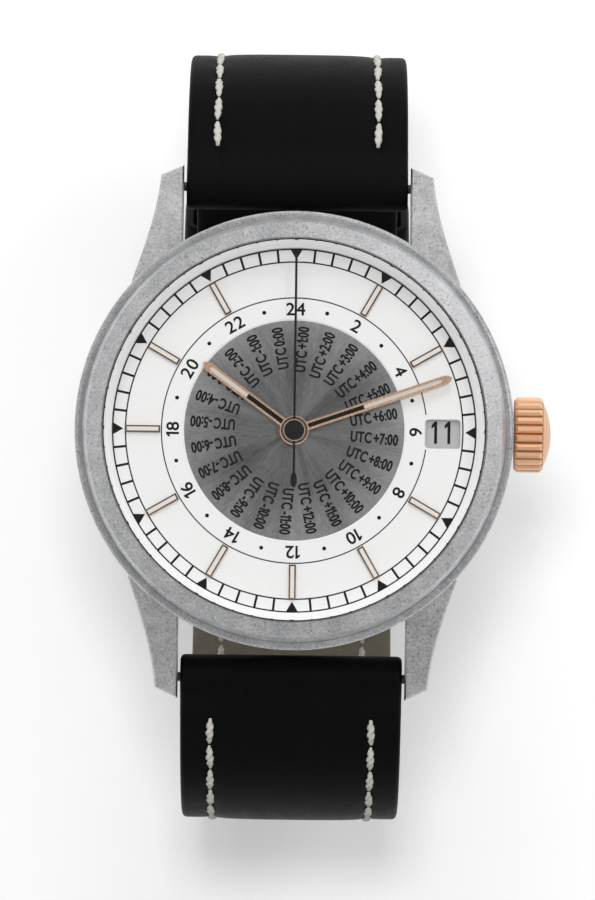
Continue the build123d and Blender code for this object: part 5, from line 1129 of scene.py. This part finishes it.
@dataclass
class StrapPath:
    """The line that one half of the strap follows, sampled from the bar to its end.

    It is made of straight runs and arcs in the plane of Y (outwards from the watch) and Z, each given by its length
    and its radius, 0 for a straight one. It starts on the bar's axis with a sloped lead and the arc of the shoulder.
    The normal points away from the wrist.
    """

    bar: float = 21.6
    height: float = 3.0
    slope: float = math.radians(20)
    lead: float = 4.0
    shoulder: float = 11.0
    step: float = 0.4
    runs: list[Span] = field(default_factory=list)

    def __post_init__(self) -> None:
        """Lay out every station.

        The bearing falls at each step by its length over the radius, and the place moves on by the step's chord, at
        the bearing of its middle. Both are running sums.
        """
        quarter = self.shoulder * (math.pi / 2 - self.slope)
        length, radius = np.array([(self.lead, 0.0), (quarter, self.shoulder), *self.runs]).T
        count = np.maximum(2, np.round(length / self.step)).astype(int)
        step, radius = np.repeat(length / count, count), np.repeat(radius, count)
        turn = np.divide(step, radius, out=np.zeros_like(step), where=radius > 0)
        self.bearings = np.cumsum(np.concatenate([[-self.slope], -turn]))
        middle = self.bearings[:-1] - turn / 2
        chord = np.where(radius > 0, 2 * radius * np.sin(turn / 2), step)[:, None]
        moves = chord * np.column_stack([np.cos(middle), np.sin(middle)])
        self.places = np.cumsum(np.vstack([(self.bar, self.height), moves]), axis=0)
        self.reach = np.concatenate([[0.0], np.cumsum(np.linalg.norm(np.diff(self.places, axis=0), axis=1))])

    @classmethod
    def shoulder_foot(cls) -> float:
        """Return the height at which the strap comes to hang straight down, past the shoulder."""
        return cls.height - cls.lead * math.sin(cls.slope) - cls.shoulder * math.cos(cls.slope)

    def at(self, along: Array) -> tuple[Array, Array]:
        """Read the line between its stations.

        Args:
            along: Distances along it.

        Returns:
            The places and the outward normals there, as y and z.
        """
        y, z = (np.interp(along, self.reach, self.places[:, k]) for k in (0, 1))
        bearing = np.interp(along, self.reach, self.bearings)
        return np.stack([y, z], -1), np.stack([-np.sin(bearing), np.cos(bearing)], -1)

    def where(self, test: Callable[[Array], Array]) -> float:
        """Return the first distance at which a test of the places holds."""
        return float(self.reach[np.argmax(test(self.places))])


def strap_half_width(z: Array, top: float = 3.0, low: float = -36.4, wide: float = 19.5,
                     narrow: float = 18.0) -> Array:
    """Return half the strap's width at a height: wide at the bars and narrow at the loop's low side."""
    share = np.clip((top - z) / (top - low), 0, 1)
    return (wide - (wide - narrow) * share) / 2


@dataclass
class Sheet:
    """A thick sheet on a grid: an outer and an inner surface, walls round the border and round any holes."""

    outer: Array
    inner: Array
    kept: Array

    def shape(self) -> Shape:
        """Return the closed sheet.

        Quads join neighbours on both surfaces. A wall stands wherever a kept cell has no kept neighbour, so holes and
        slots are cells left out of the grid.
        """
        far = self.outer[..., 0].size
        number = np.arange(far).reshape(self.outer.shape[:2])
        corners = number[:-1, :-1], number[1:, :-1], number[1:, 1:], number[:-1, 1:]
        top = np.stack(corners, -1)[self.kept]
        faces = [top, top[:, ::-1] + far]
        framed = np.pad(self.kept, 1)
        around = framed[1:-1, :-2], framed[2:, 1:-1], framed[1:-1, 2:], framed[:-2, 1:-1]
        for k, neighbour in enumerate(around):
            bare = self.kept & ~neighbour
            one, two = corners[k][bare], corners[(k + 1) % 4][bare]
            faces.append(np.stack([two, one, one + far, two + far], -1))
        points = np.concatenate([self.outer.reshape(-1, 3), self.inner.reshape(-1, 3)])
        used = np.unique(np.concatenate([table.ravel() for table in faces]))
        fresh = np.full(len(points), -1)
        fresh[used] = np.arange(len(used))
        return Shape(points[used], [fresh[table] for table in faces]).outward()


@dataclass
class StrapHalf:
    """One half of the strap: outer leather, lining and the stitches that hold them.

    Heights are out from the path, and ends, stitches and holes are distances along it. Nose and bore are the outer
    and inner radii of the leather round the spring bar, and flap is where it ends behind the bar. Row is the spacing
    of the grid and hole_clear the room round a hole's own rows. The padding rises from rise_from and fades out over
    fade. Beat is the groove's mean depth and its swing from stitch to stitch, as shares. Last is the length and the
    depth of the drop at an end, and least the smallest thickness. A strand leaves stitch_gap free at each end, turns
    by twist, arches up by arch and dives by dive.
    """

    name: str
    body: str
    side: int
    path: StrapPath
    leather_end: float
    lining_end: float
    leather: float = 1.35
    lining_low: float = -0.99
    lining_high: float = -0.04
    edge: float = 0.45
    stitch_inset: float = 2.62
    groove: float = 0.26
    groove_width: float = 0.45
    crown: float = 0.16
    thread: float = 0.37
    stitch_start: float = 3.35
    stitch_pitch: float = 2.42
    stitch_end: float = 0.0
    holes: tuple[float, ...] = ()
    hole_radius: float = 0.8
    tip: float = 0.0
    tip_half: float = 1.6
    nose: float = 2.0
    bore: float = 0.87
    flap: float = 3.6
    row: float = 0.55
    hole_clear: float = 1.05
    rise_from: float = 0.6
    fade: float = 1.2
    beat: Span = (0.72, 0.28)
    last: Span = (0.35, 0.2)
    least: float = 0.12
    stitch_gap: float = 0.10
    twist: float = 1.7
    arch: float = 0.16
    dive: float = 0.12

    def stations(self) -> Array:
        """Return the places across the strap as signed shares of its half width, closer at edges and grooves."""
        half = 9.5
        inset = [0, 0.06, 0.16, 0.30, 0.48, 0.9, 1.5, 2.0, 2.25, 2.45, 2.62, 2.79, 2.99, 3.25, 3.8, 4.8, 6.2, 7.5]
        right = [(half - d) / half for d in inset] + [1.3 / half, 0.8 / half, 0.4 / half]
        return np.array([-share for share in right] + [0.0] + right[::-1])

    def half_width(self, along: Array, z: Array) -> Array:
        """Draw the tail to its point over the last millimetres of the plain width.

        Args:
            along: Distances along the strap.
            z: Heights there.

        Returns:
            Half the width there.
        """
        half = strap_half_width(z)
        if self.tip:
            share = np.clip((along - (self.leather_end - self.tip)) / self.tip, 0, 1)
            half = half * (1 - share) + self.tip_half * share
        return half

    def rounding(self, x: Array, half: Array) -> Array:
        """Return how far the surface falls near the edge: a quarter circle over the last edge width."""
        inside = np.clip((self.edge - (half - np.abs(x))) / self.edge, 0, 1)
        return self.edge * (1 - np.sqrt(np.clip(1 - inside**2, 0, 1)))

    def relief(self, along: Array, x: Array, half: Array) -> Array:
        """Work out the height of the padded face over the plain one: a low crown less a groove under each seam.

        Both rise from nothing over the wedge behind the bar, as a smooth step. The groove is a bell curve across the
        strap, and deeper at each stitch.

        Args:
            along: Distances along the strap.
            x: Places across it.
            half: Half its width there.

        Returns:
            The height.
        """
        seam = half - self.stitch_inset
        crown = self.crown * np.clip(1 - (np.abs(x) / seam) ** 4, 0, 1)
        rise = np.clip((along - self.rise_from) / (self.stitch_start - self.rise_from), 0, 1)
        if self.stitch_end:
            rise = rise * np.clip((self.stitch_end + self.fade - along) / self.fade, 0, 1)
        off = (np.abs(x) - seam) / self.groove_width
        mean, swing = self.beat
        beat = mean + swing * np.cos(TURN * (along - self.stitch_start) / self.stitch_pitch)
        return eased(rise) * (crown - self.groove * beat * np.exp(-(off**2)))

    def wedge(self, along: Array) -> Array:
        """Return how much thicker the leather is behind the bar, where it comes off the nose."""
        return (self.nose - self.leather) * eased(np.clip(1 - along / self.flap, 0, 1))

    def lay(self, along: Array, x: Array, out: Array) -> Array:
        """Place points against the path.

        Args:
            along: Distances along it.
            x: Distances across it.
            out: Distances out from it.

        Returns:
            The points in the shared frame.
        """
        place, normal = self.path.at(along)
        y = place[..., 0] + out * normal[..., 0]
        z = place[..., 1] + out * normal[..., 1]
        return np.stack([x, self.side * y, z], -1)

    def along_grid(self, start: float, end: float, holes: list[float]) -> Array:
        """Choose the rows of a layer, with five close ones at each hole.

        Args:
            start: Where the layer begins.
            end: Where it ends.
            holes: Distances of its holes.

        Returns:
            The distance of each row along the strap.
        """
        plain, middles = np.arange(start, end - 0.1, self.row), np.array(holes)
        rows = middles[:, None] + np.arange(-2, 3) * self.hole_radius / 2
        free = (np.abs(plain[:, None] - middles) > self.hole_clear).all(axis=1)
        return np.sort(np.concatenate([plain[free], rows.ravel(), [end]]))

    def pierced(self, along: Array, grid: Array, x: Array, holes: list[float]) -> tuple[Array, Array, Array]:
        """Leave out the cells of each hole and draw the border of the gap onto its circle.

        Args:
            along: Distance of each row along the strap.
            grid: Distance of each point along the strap.
            x: Place of each point across it.
            holes: Distances of the holes in this layer.

        Returns:
            The kept cells and the grids along and across with each hole's border on its circle.
        """
        kept = np.ones((grid.shape[0] - 1, grid.shape[1] - 1), dtype=bool)
        middle = grid.shape[1] // 2
        grid, x = grid.copy(), x.copy()
        i, j = np.indices((5, 5)) - 2
        border = np.maximum(abs(i), abs(j)) == 2
        i, j = i[border], j[border]
        for distance in holes:
            row = int(np.argmin(np.abs(along - distance)))
            kept[row - 2:row + 2, middle - 2:middle + 2] = False
            grid[row + i, middle + j] = distance + self.hole_radius * i / np.hypot(i, j)
            x[row + i, middle + j] = self.hole_radius * j / np.hypot(i, j)
        return kept, grid, x

    def layer(self, start: float, end: float, low: float, high: float, padded: bool) -> tuple[Array, Array, Array]:
        """Return one layer of the strap between two distances along the path.

        Args:
            start: Where the layer begins.
            end: Where it ends.
            low: Its face towards the wrist.
            high: Its face away from the wrist.
            padded: Whether the outer face has the crown, the seams' grooves and the wedge behind the bar.

        Returns:
            The outer grid, the inner grid and the kept cells.
        """
        holes = [distance for distance in self.holes if start + 1.5 < distance < end - 1.5]
        along = self.along_grid(start, end, holes)
        shares = self.stations()
        grid = along[:, None] * np.ones(len(shares))
        half = self.half_width(grid, self.path.at(grid)[0][..., 1])
        x = shares * half
        kept, grid, x = self.pierced(along, grid, x, holes)
        fall = self.rounding(x, half)
        last = np.clip((self.last[0] - (end - grid)) / self.last[0], 0, 1) * self.last[1]
        if padded:
            top = high + self.wedge(grid) + self.relief(grid, x, half) - fall - last
            bottom = low + self.bore * np.clip(1 - grid / (self.flap * 0.85), 0, 1) ** 1.5
        else:
            top, bottom = high - last + 0 * fall, low + 0.6 * fall
        return self.lay(grid, x, bottom + np.maximum(top - bottom, self.least)), self.lay(grid, x, bottom), kept

    def nose_rows(self) -> tuple[Array, Array]:
        """Return the leather round the spring bar, from the flap below the strap round to the top of the bar.

        Both faces run straight from the flap to the bar and then on arcs about it, in the slope's own directions.
        """
        arc = half_turn(24)[:-1]
        outer = np.concatenate([[(self.flap, self.lining_low)], arc * self.nose])
        inner = np.concatenate([[(self.flap, -0.06)], arc * self.bore])
        bearing = self.path.bearings[0]
        axes = np.array([[math.cos(bearing), math.sin(bearing)], [-math.sin(bearing), math.cos(bearing)]])
        half = strap_half_width(np.array(self.path.height))
        x = self.stations() * half
        fall = self.rounding(x, half)[None, :, None]
        faces = []
        for line, way in ((outer, 1.0), (inner, 0.0)):
            flat = self.path.places[0] + (line[:, None, :] - way * fall * unit(line)[:, None, :]) @ axes
            faces.append(np.stack([np.broadcast_to(x, flat.shape[:2]), self.side * flat[..., 0], flat[..., 1]], -1))
        return faces[0], faces[1]

    def upper(self) -> Shape:
        """Return the outer leather in one sheet, from the flap round the bar to the end of the plain layer."""
        top, bottom, kept = self.layer(0.0, self.leather_end, 0.0, self.leather, True)
        nose_top, nose_bottom = self.nose_rows()
        cells = np.ones((len(nose_top), kept.shape[1]), dtype=bool)
        return Sheet(np.concatenate([nose_top, top]), np.concatenate([nose_bottom, bottom]),
                     np.concatenate([cells, kept])).shape()

    def stitches(self, start: float, end: float, face: float, way: float) -> Shape:
        """Return both rows of stitches on one face: each a two-ply strand that dives at its ends.

        Point (i, j) of a stitch lies at angle j, plus a twist that grows with i, round the strand. Its radius is
        larger where a ply stands out.

        Args:
            start: Where the first stitch begins, along the path.
            end: Where the last one ends at the latest.
            face: Height of the face that the stitches lie on.
            way: 1 for the outer face, -1 for the lining.

        Returns:
            All the strands.
        """
        plies = np.array([1.0, 0.93, 0.66, 0.93, 1.0, 0.93, 0.66, 0.93])
        share = np.linspace(0, 1, 15)[:, None]
        made = []
        for number, first in enumerate(np.arange(start, end - self.stitch_pitch, self.stitch_pitch)):
            for seam in (-1, 1):
                lean = 0.10 * math.sin(2.3 * number + seam)
                along = first + self.stitch_gap + share * (self.stitch_pitch - 2 * self.stitch_gap)
                turn = np.linspace(0, TURN, len(plies), endpoint=False)[None, :] + TURN * self.twist * share + number
                radius = self.thread * np.sin(math.pi * np.clip(share, 0.03, 0.97)) ** 0.4 * plies
                half = self.half_width(along, self.path.at(along)[0][..., 1])
                centre = face + way * (self.arch * np.sin(math.pi * share) - self.dive)
                x = seam * (half - self.stitch_inset) + lean * (share - 0.5) + radius * np.cos(turn)
                made.append(swept(self.lay(along + 0 * turn, x, centre + 0.85 * radius * np.sin(turn))))
        return Shape.join(made)

    def build(self) -> None:
        """Make the leather, the lining and the stitches of this half."""
        leather = Shape.join([self.upper(), *self.end_parts()]).piece(
            f"{self.name}_upper", self.body, BLACK_LEATHER, "strap_black", 40)
        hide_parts(f"{self.name}_leather")
        lining = Sheet(*self.layer(self.flap + 0.04, self.lining_end, self.lining_low, self.lining_high, False))
        under = lining.shape().piece(f"{self.name}_under", self.body, TAN_LINING, "strap_lining", 40)
        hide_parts(f"{self.name}_lining")
        seams = self.stitches(self.stitch_start, self.stitch_end, self.leather - self.groove + self.arch, 1.0)
        seams.piece(f"{self.name}_seams", self.body, LINEN_THREAD, "strap_lining", 70)
        under_end = min(self.stitch_end, self.lining_end - 1.0)
        backs = self.stitches(self.stitch_start + self.stitch_pitch, under_end, self.lining_low, -1.0)
        backs.piece(f"{self.name}_under_seams", self.body, LINEN_THREAD, "strap_lining", 70)

    def end_parts(self) -> list[Shape]:
        """Return the leather past the end of the plain layer. A plain half has none."""
        return []


@dataclass
class HoleHalf(StrapHalf):
    """The half with the holes: its tail is lined with the black leather."""

    def end_parts(self) -> list[Shape]:
        """Return the tail's black lining, past the end of the tan one."""
        tail = self.layer(self.lining_end, self.leather_end, self.lining_low, self.lining_high, False)
        return [Sheet(*tail).shape()]


@dataclass
class BuckleHalf(StrapHalf):
    """The half that carries the buckle: its leather goes round the buckle bar in two tabs, and back."""

    bar_at: Span = (-3.0, -41.5)
    loop: float = 1.45
    loop_bore: float = 0.75
    slot_half: float = 1.3
    fold_from: float = -1.3
    fold_to: float = 1.2

    def end_parts(self) -> list[Shape]:
        """Return the two tabs: round the bar as arcs about it, then straight back over the strap."""
        y, z = self.bar_at
        line = z + 0.2
        outer, inner = (
            np.concatenate([[(self.fold_from, line - below)], half_turn(16) * radius + [y, z],
                            [(self.fold_from, line + above), (self.fold_to, line + above)]])
            for below, radius, above in ((self.leather, self.loop, 0.99), (0.0, self.loop_bore, 0.06)))
        half = float(strap_half_width(np.array(line)))
        made = []
        for side in (-1, 1):
            x = side * np.array([self.slot_half, self.slot_half + 0.1, 3.2, 5.0, 7.0, half - 0.9, half - 0.45,
                                 half - 0.25, half - 0.1, half])
            fall = self.rounding(x, half)[None, :, None]
            toward = unit(outer - np.array([y, line]))
            wide = outer[:, None, :] - 0.6 * fall * toward[:, None, :] * np.array([0.2, 1.0])
            near = np.broadcast_to(inner[:, None, :], wide.shape)
            grids = [np.stack([np.broadcast_to(x, face.shape[:2]), face[..., 0], face[..., 1]], -1)
                     for face in (wide, near)]
            made.append(Sheet(*grids, np.ones((len(outer) - 1, len(x) - 1), dtype=bool)).shape())
        return made


@dataclass
class Keeper:
    """A leather loop round the strap: a rounded strip carried round a rounded rectangle.

    Half is half the cavity's width, and low and high are where it ends across the strap's thickness. Width runs along
    the strap and wall is the leather's thickness. Place turns offsets along the strap and out from it into y and z.
    """

    name: str
    body: str
    node: str
    half: float
    low: float
    high: float
    place: Callable[[Array, Array], tuple[Array, Array]]
    width: float = 4.5
    wall: float = 0.9
    corner: float = 0.7

    def section(self) -> tuple[Array, Array]:
        """Return the strip's rounded outline as offsets along the strap and outwards from the cavity."""
        turn = np.linspace(0, TURN, 28, endpoint=False)
        power = 0.32
        u = np.sign(np.cos(turn)) * np.abs(np.cos(turn)) ** power * self.width / 2
        v = np.sign(np.sin(turn)) * np.abs(np.sin(turn)) ** power * self.wall / 2 + self.wall / 2
        return u, v * (1 - 0.10 * (2 * u / self.width) ** 2)

    def build(self) -> None:
        """Carry the section round the cavity: straight sides and quarter circle corners, seven points to each."""
        angle = (math.pi / 2 * (np.arange(4)[:, None] + np.arange(7) / 6)).ravel()
        normal = np.column_stack([np.cos(angle), np.sin(angle)])
        reach, high, low = self.half - self.corner, self.high - self.corner, self.low + self.corner
        centres = np.array([(reach, high), (-reach, high), (-reach, low), (reach, low)])
        path = np.repeat(centres, 7, axis=0) + self.corner * normal
        u, v = self.section()
        across = path[:, None, 0] + v * normal[:, None, 0]
        out = path[:, None, 1] + v * normal[:, None, 1]
        y, z = self.place(np.broadcast_to(u, out.shape), out)
        made = swept(np.stack([across, y, z], -1), ring=True)
        thing = made.piece(self.name, self.body, BLACK_LEATHER, "strap_black", 50)
        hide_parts(self.node)


@dataclass
class Strap:
    """Both halves of the strap and its two keepers, in the standing loop that the watch is shown in.

    Each half hangs straight down to the height of an arc's centre and follows the arc to the loop's low side. The
    long half runs along that side and goes up inside the short one on a tighter arc and its straight tail.
    """

    short_centre: Span = (7.0, -15.7035)
    short_arc: float = 25.5965
    short_run: float = 8.3
    leather_to: float = -1.28
    lining_to: float = 1.30
    low_side: float = -41.2
    long_centre: float = -13.8
    long_arc: float = 22.6
    long_run: float = 16.9965
    inner_arc: float = 20.6965
    tail: float = 7.5
    holes: int = 7
    last_hole: float = 10.5
    hole_pitch: float = 6.0
    keeper_half: float = 9.4
    fixed_at: float = 3.45
    free_bearing: float = math.radians(28)
    free_radius: float = 26.9

    def short_half(self) -> BuckleHalf:
        """Return the half with the buckle: down, round to the loop's low side, and along it to the bar."""
        drop = StrapPath.shoulder_foot() - self.short_centre[1]
        path = StrapPath(runs=[(drop, 0.0), (self.short_arc * math.pi / 2, self.short_arc), (self.short_run, 0.0)])
        end, lining = (path.where(lambda p, y=y: (p[:, 1] < self.low_side) & (p[:, 0] < y))
                       for y in (self.leather_to, self.lining_to))
        return BuckleHalf("strap_short", "strap_short", 1, path, end, lining, stitch_end=lining - 4.4)

    def long_half(self) -> HoleHalf:
        """Return the half with the holes: down, round, along the low side, and up inside the other half."""
        drop = StrapPath.shoulder_foot() - self.long_centre
        inner = self.inner_arc * math.pi / 2
        path = StrapPath(runs=[(drop, 0.0), (self.long_arc * math.pi / 2, self.long_arc), (self.long_run, 0.0),
                               (inner, self.inner_arc), (self.tail, 0.0)])
        end = float(path.reach[-1])
        arc_end = end - self.tail
        holes = tuple(sorted(arc_end - self.last_hole - self.hole_pitch * k for k in range(self.holes)))
        return HoleHalf("strap_long", "strap_long", -1, path, end, arc_end - inner, holes=holes, tip=7.0,
                        stitch_end=arc_end)

    def flat_place(self, u: Array, v: Array) -> tuple[Array, Array]:
        """Return y and z in the fixed keeper, u along the loop's low side and v down from the watch."""
        return self.fixed_at + u, -v

    def arc_place(self, u: Array, v: Array) -> tuple[Array, Array]:
        """Return y and z in the free keeper, u along the short half's arc and v out from its centre."""
        angle, (y, z) = self.free_bearing + u / self.free_radius, self.short_centre
        return y + v * np.sin(angle), z - v * np.cos(angle)

    def build(self) -> None:
        """Make the halves and the keepers."""
        self.short_half().build()
        self.long_half().build()
        Keeper("fixed_keeper_loop", "strap_short", "fixed_keeper", self.keeper_half, 40.31, 45.24,
               self.flat_place).build()
        Keeper("free_keeper_loop", "loose_keeper", "free_keeper", self.keeper_half, 24.357, 29.537,
               self.arc_place).build()


# Studio


@dataclass(frozen=True)
class Lamp:
    """A square soft box that faces the watch, in metres and watts. Metal and glass mirror it or pass it over."""

    name: str
    place: Place
    size: float
    watts: float
    mirrored: bool

    def hang(self) -> None:
        """Make the lamp and turn it to the watch."""
        data = bpy.data.lights.new(self.name, "AREA")
        data.shape, data.size, data.energy = "SQUARE", self.size, self.watts
        made = bpy.data.objects.new(self.name, data)
        spot = Vector(self.place)
        made.matrix_world = Matrix.Translation(spot) @ spot.to_track_quat("Z", "Y").to_matrix().to_4x4()
        made.visible_glossy = made.visible_transmission = self.mirrored
        bpy.context.scene.collection.objects.link(made)


@dataclass
class Studio:
    """The pale floor, the soft lights and the camera over the watch.

    Scale is in pixels per millimetre. Dial is where the photograph has the dial's centre, and size is its frame.
    """

    lamps: tuple[Lamp, ...] = (
        Lamp("overhead_light", (-0.015, 0.085, 0.85), 0.11, 2.43, False),
        Lamp("top_light", (-0.08, 0.62, 0.58), 0.30, 1.7, False),
        Lamp("sheen_light", (0.34, 0.24, 0.66), 0.24, 0.76, True),
        Lamp("left_light", (-0.36, 0.10, 0.62), 0.24, 0.23, True),
        Lamp("rim_light", (0.12, 0.72, 0.40), 0.40, 0.50, True),
    )
    ambient: float = 0.42
    floor: float = -46.3
    floor_half: float = 1500.0
    distance: float = 1000.0
    tilt: float = 1.8
    roll: float = 0.75
    sensor: float = 36.0
    scale: float = 11.418
    dial: Span = (294.2, 430.5)
    dial_height: float = 9.0
    size: tuple[int, int] = (595, 900)

    def camera(self) -> None:
        """Aim the camera so that the dial's centre falls where the photograph has it."""
        roll, tilt = math.radians(self.roll), math.radians(self.tilt)
        right = Vector((math.cos(roll), math.sin(roll), 0))
        up = Vector((-math.sin(roll), math.cos(roll), 0))
        shift = ((self.size[0] / 2 - self.dial[0]) / self.scale, (self.dial[1] - self.size[1] / 2) / self.scale)
        target = Vector((0, 0, self.dial_height)) + right * shift[0] + up * shift[1]
        back = Vector((0, -math.sin(tilt), math.cos(tilt)))
        across = up.cross(back).normalized()
        turned = Matrix((across, back.cross(across), back)).transposed().to_4x4()
        data = bpy.data.cameras.new("camera")
        data.sensor_width, data.sensor_fit = self.sensor, "AUTO"
        data.lens = self.scale * self.distance * self.sensor / self.size[1]
        data.clip_start, data.clip_end = 0.01, 20
        made = bpy.data.objects.new("camera", data)
        made.matrix_world = Matrix.Translation((target + back * self.distance) * MM) @ turned
        bpy.context.scene.collection.objects.link(made)
        bpy.context.scene.camera = made

    def world(self) -> None:
        """Light plainly from all round, and show white to the camera."""
        world = bpy.context.scene.world = bpy.data.worlds.new("studio")
        world.use_nodes = True
        bench = Bench(world.node_tree)
        strength = bench.spread(bench.node("LightPath").outputs["Is Camera Ray"], self.ambient, 1.0)
        bench.fill(world.node_tree.nodes["Background"].inputs, {"Color": 1.0, "Strength": strength})

    def floor_sheet(self) -> None:
        """Lay a wide square floor just under the strap's loop."""
        half, z = self.floor_half * MM, self.floor * MM
        mesh = bpy.data.meshes.new("floor")
        mesh.from_pydata([(-half, -half, z), (half, -half, z), (half, half, z), (-half, half, z)], [], [(0, 1, 2, 3)])
        mesh.materials.append(FloorPaint().material())
        thing = bpy.data.objects.new("floor", mesh)
        bpy.context.scene.collection.objects.link(thing)

    def build(self) -> None:
        """Set up the camera, the lights and the floor."""
        bpy.context.scene.view_settings.view_transform = "Standard"
        self.camera()
        self.world()
        self.floor_sheet()
        for lamp in self.lamps:
            lamp.hang()


def main() -> None:
    """Dress the frame, add the printed, filled and sewn pieces, and set the studio."""
    logging.basicConfig(level=logging.INFO, format="%(message)s")
    dress_frame()
    for kind in (DialPrint, DialTrim, ZonePrint, DatePrint, HandInlays, HandHub, MarkerInlays, Strap, Studio):
        kind().build()
        log.info("%s done", kind.__name__)


if __name__ == "__main__":
    main()
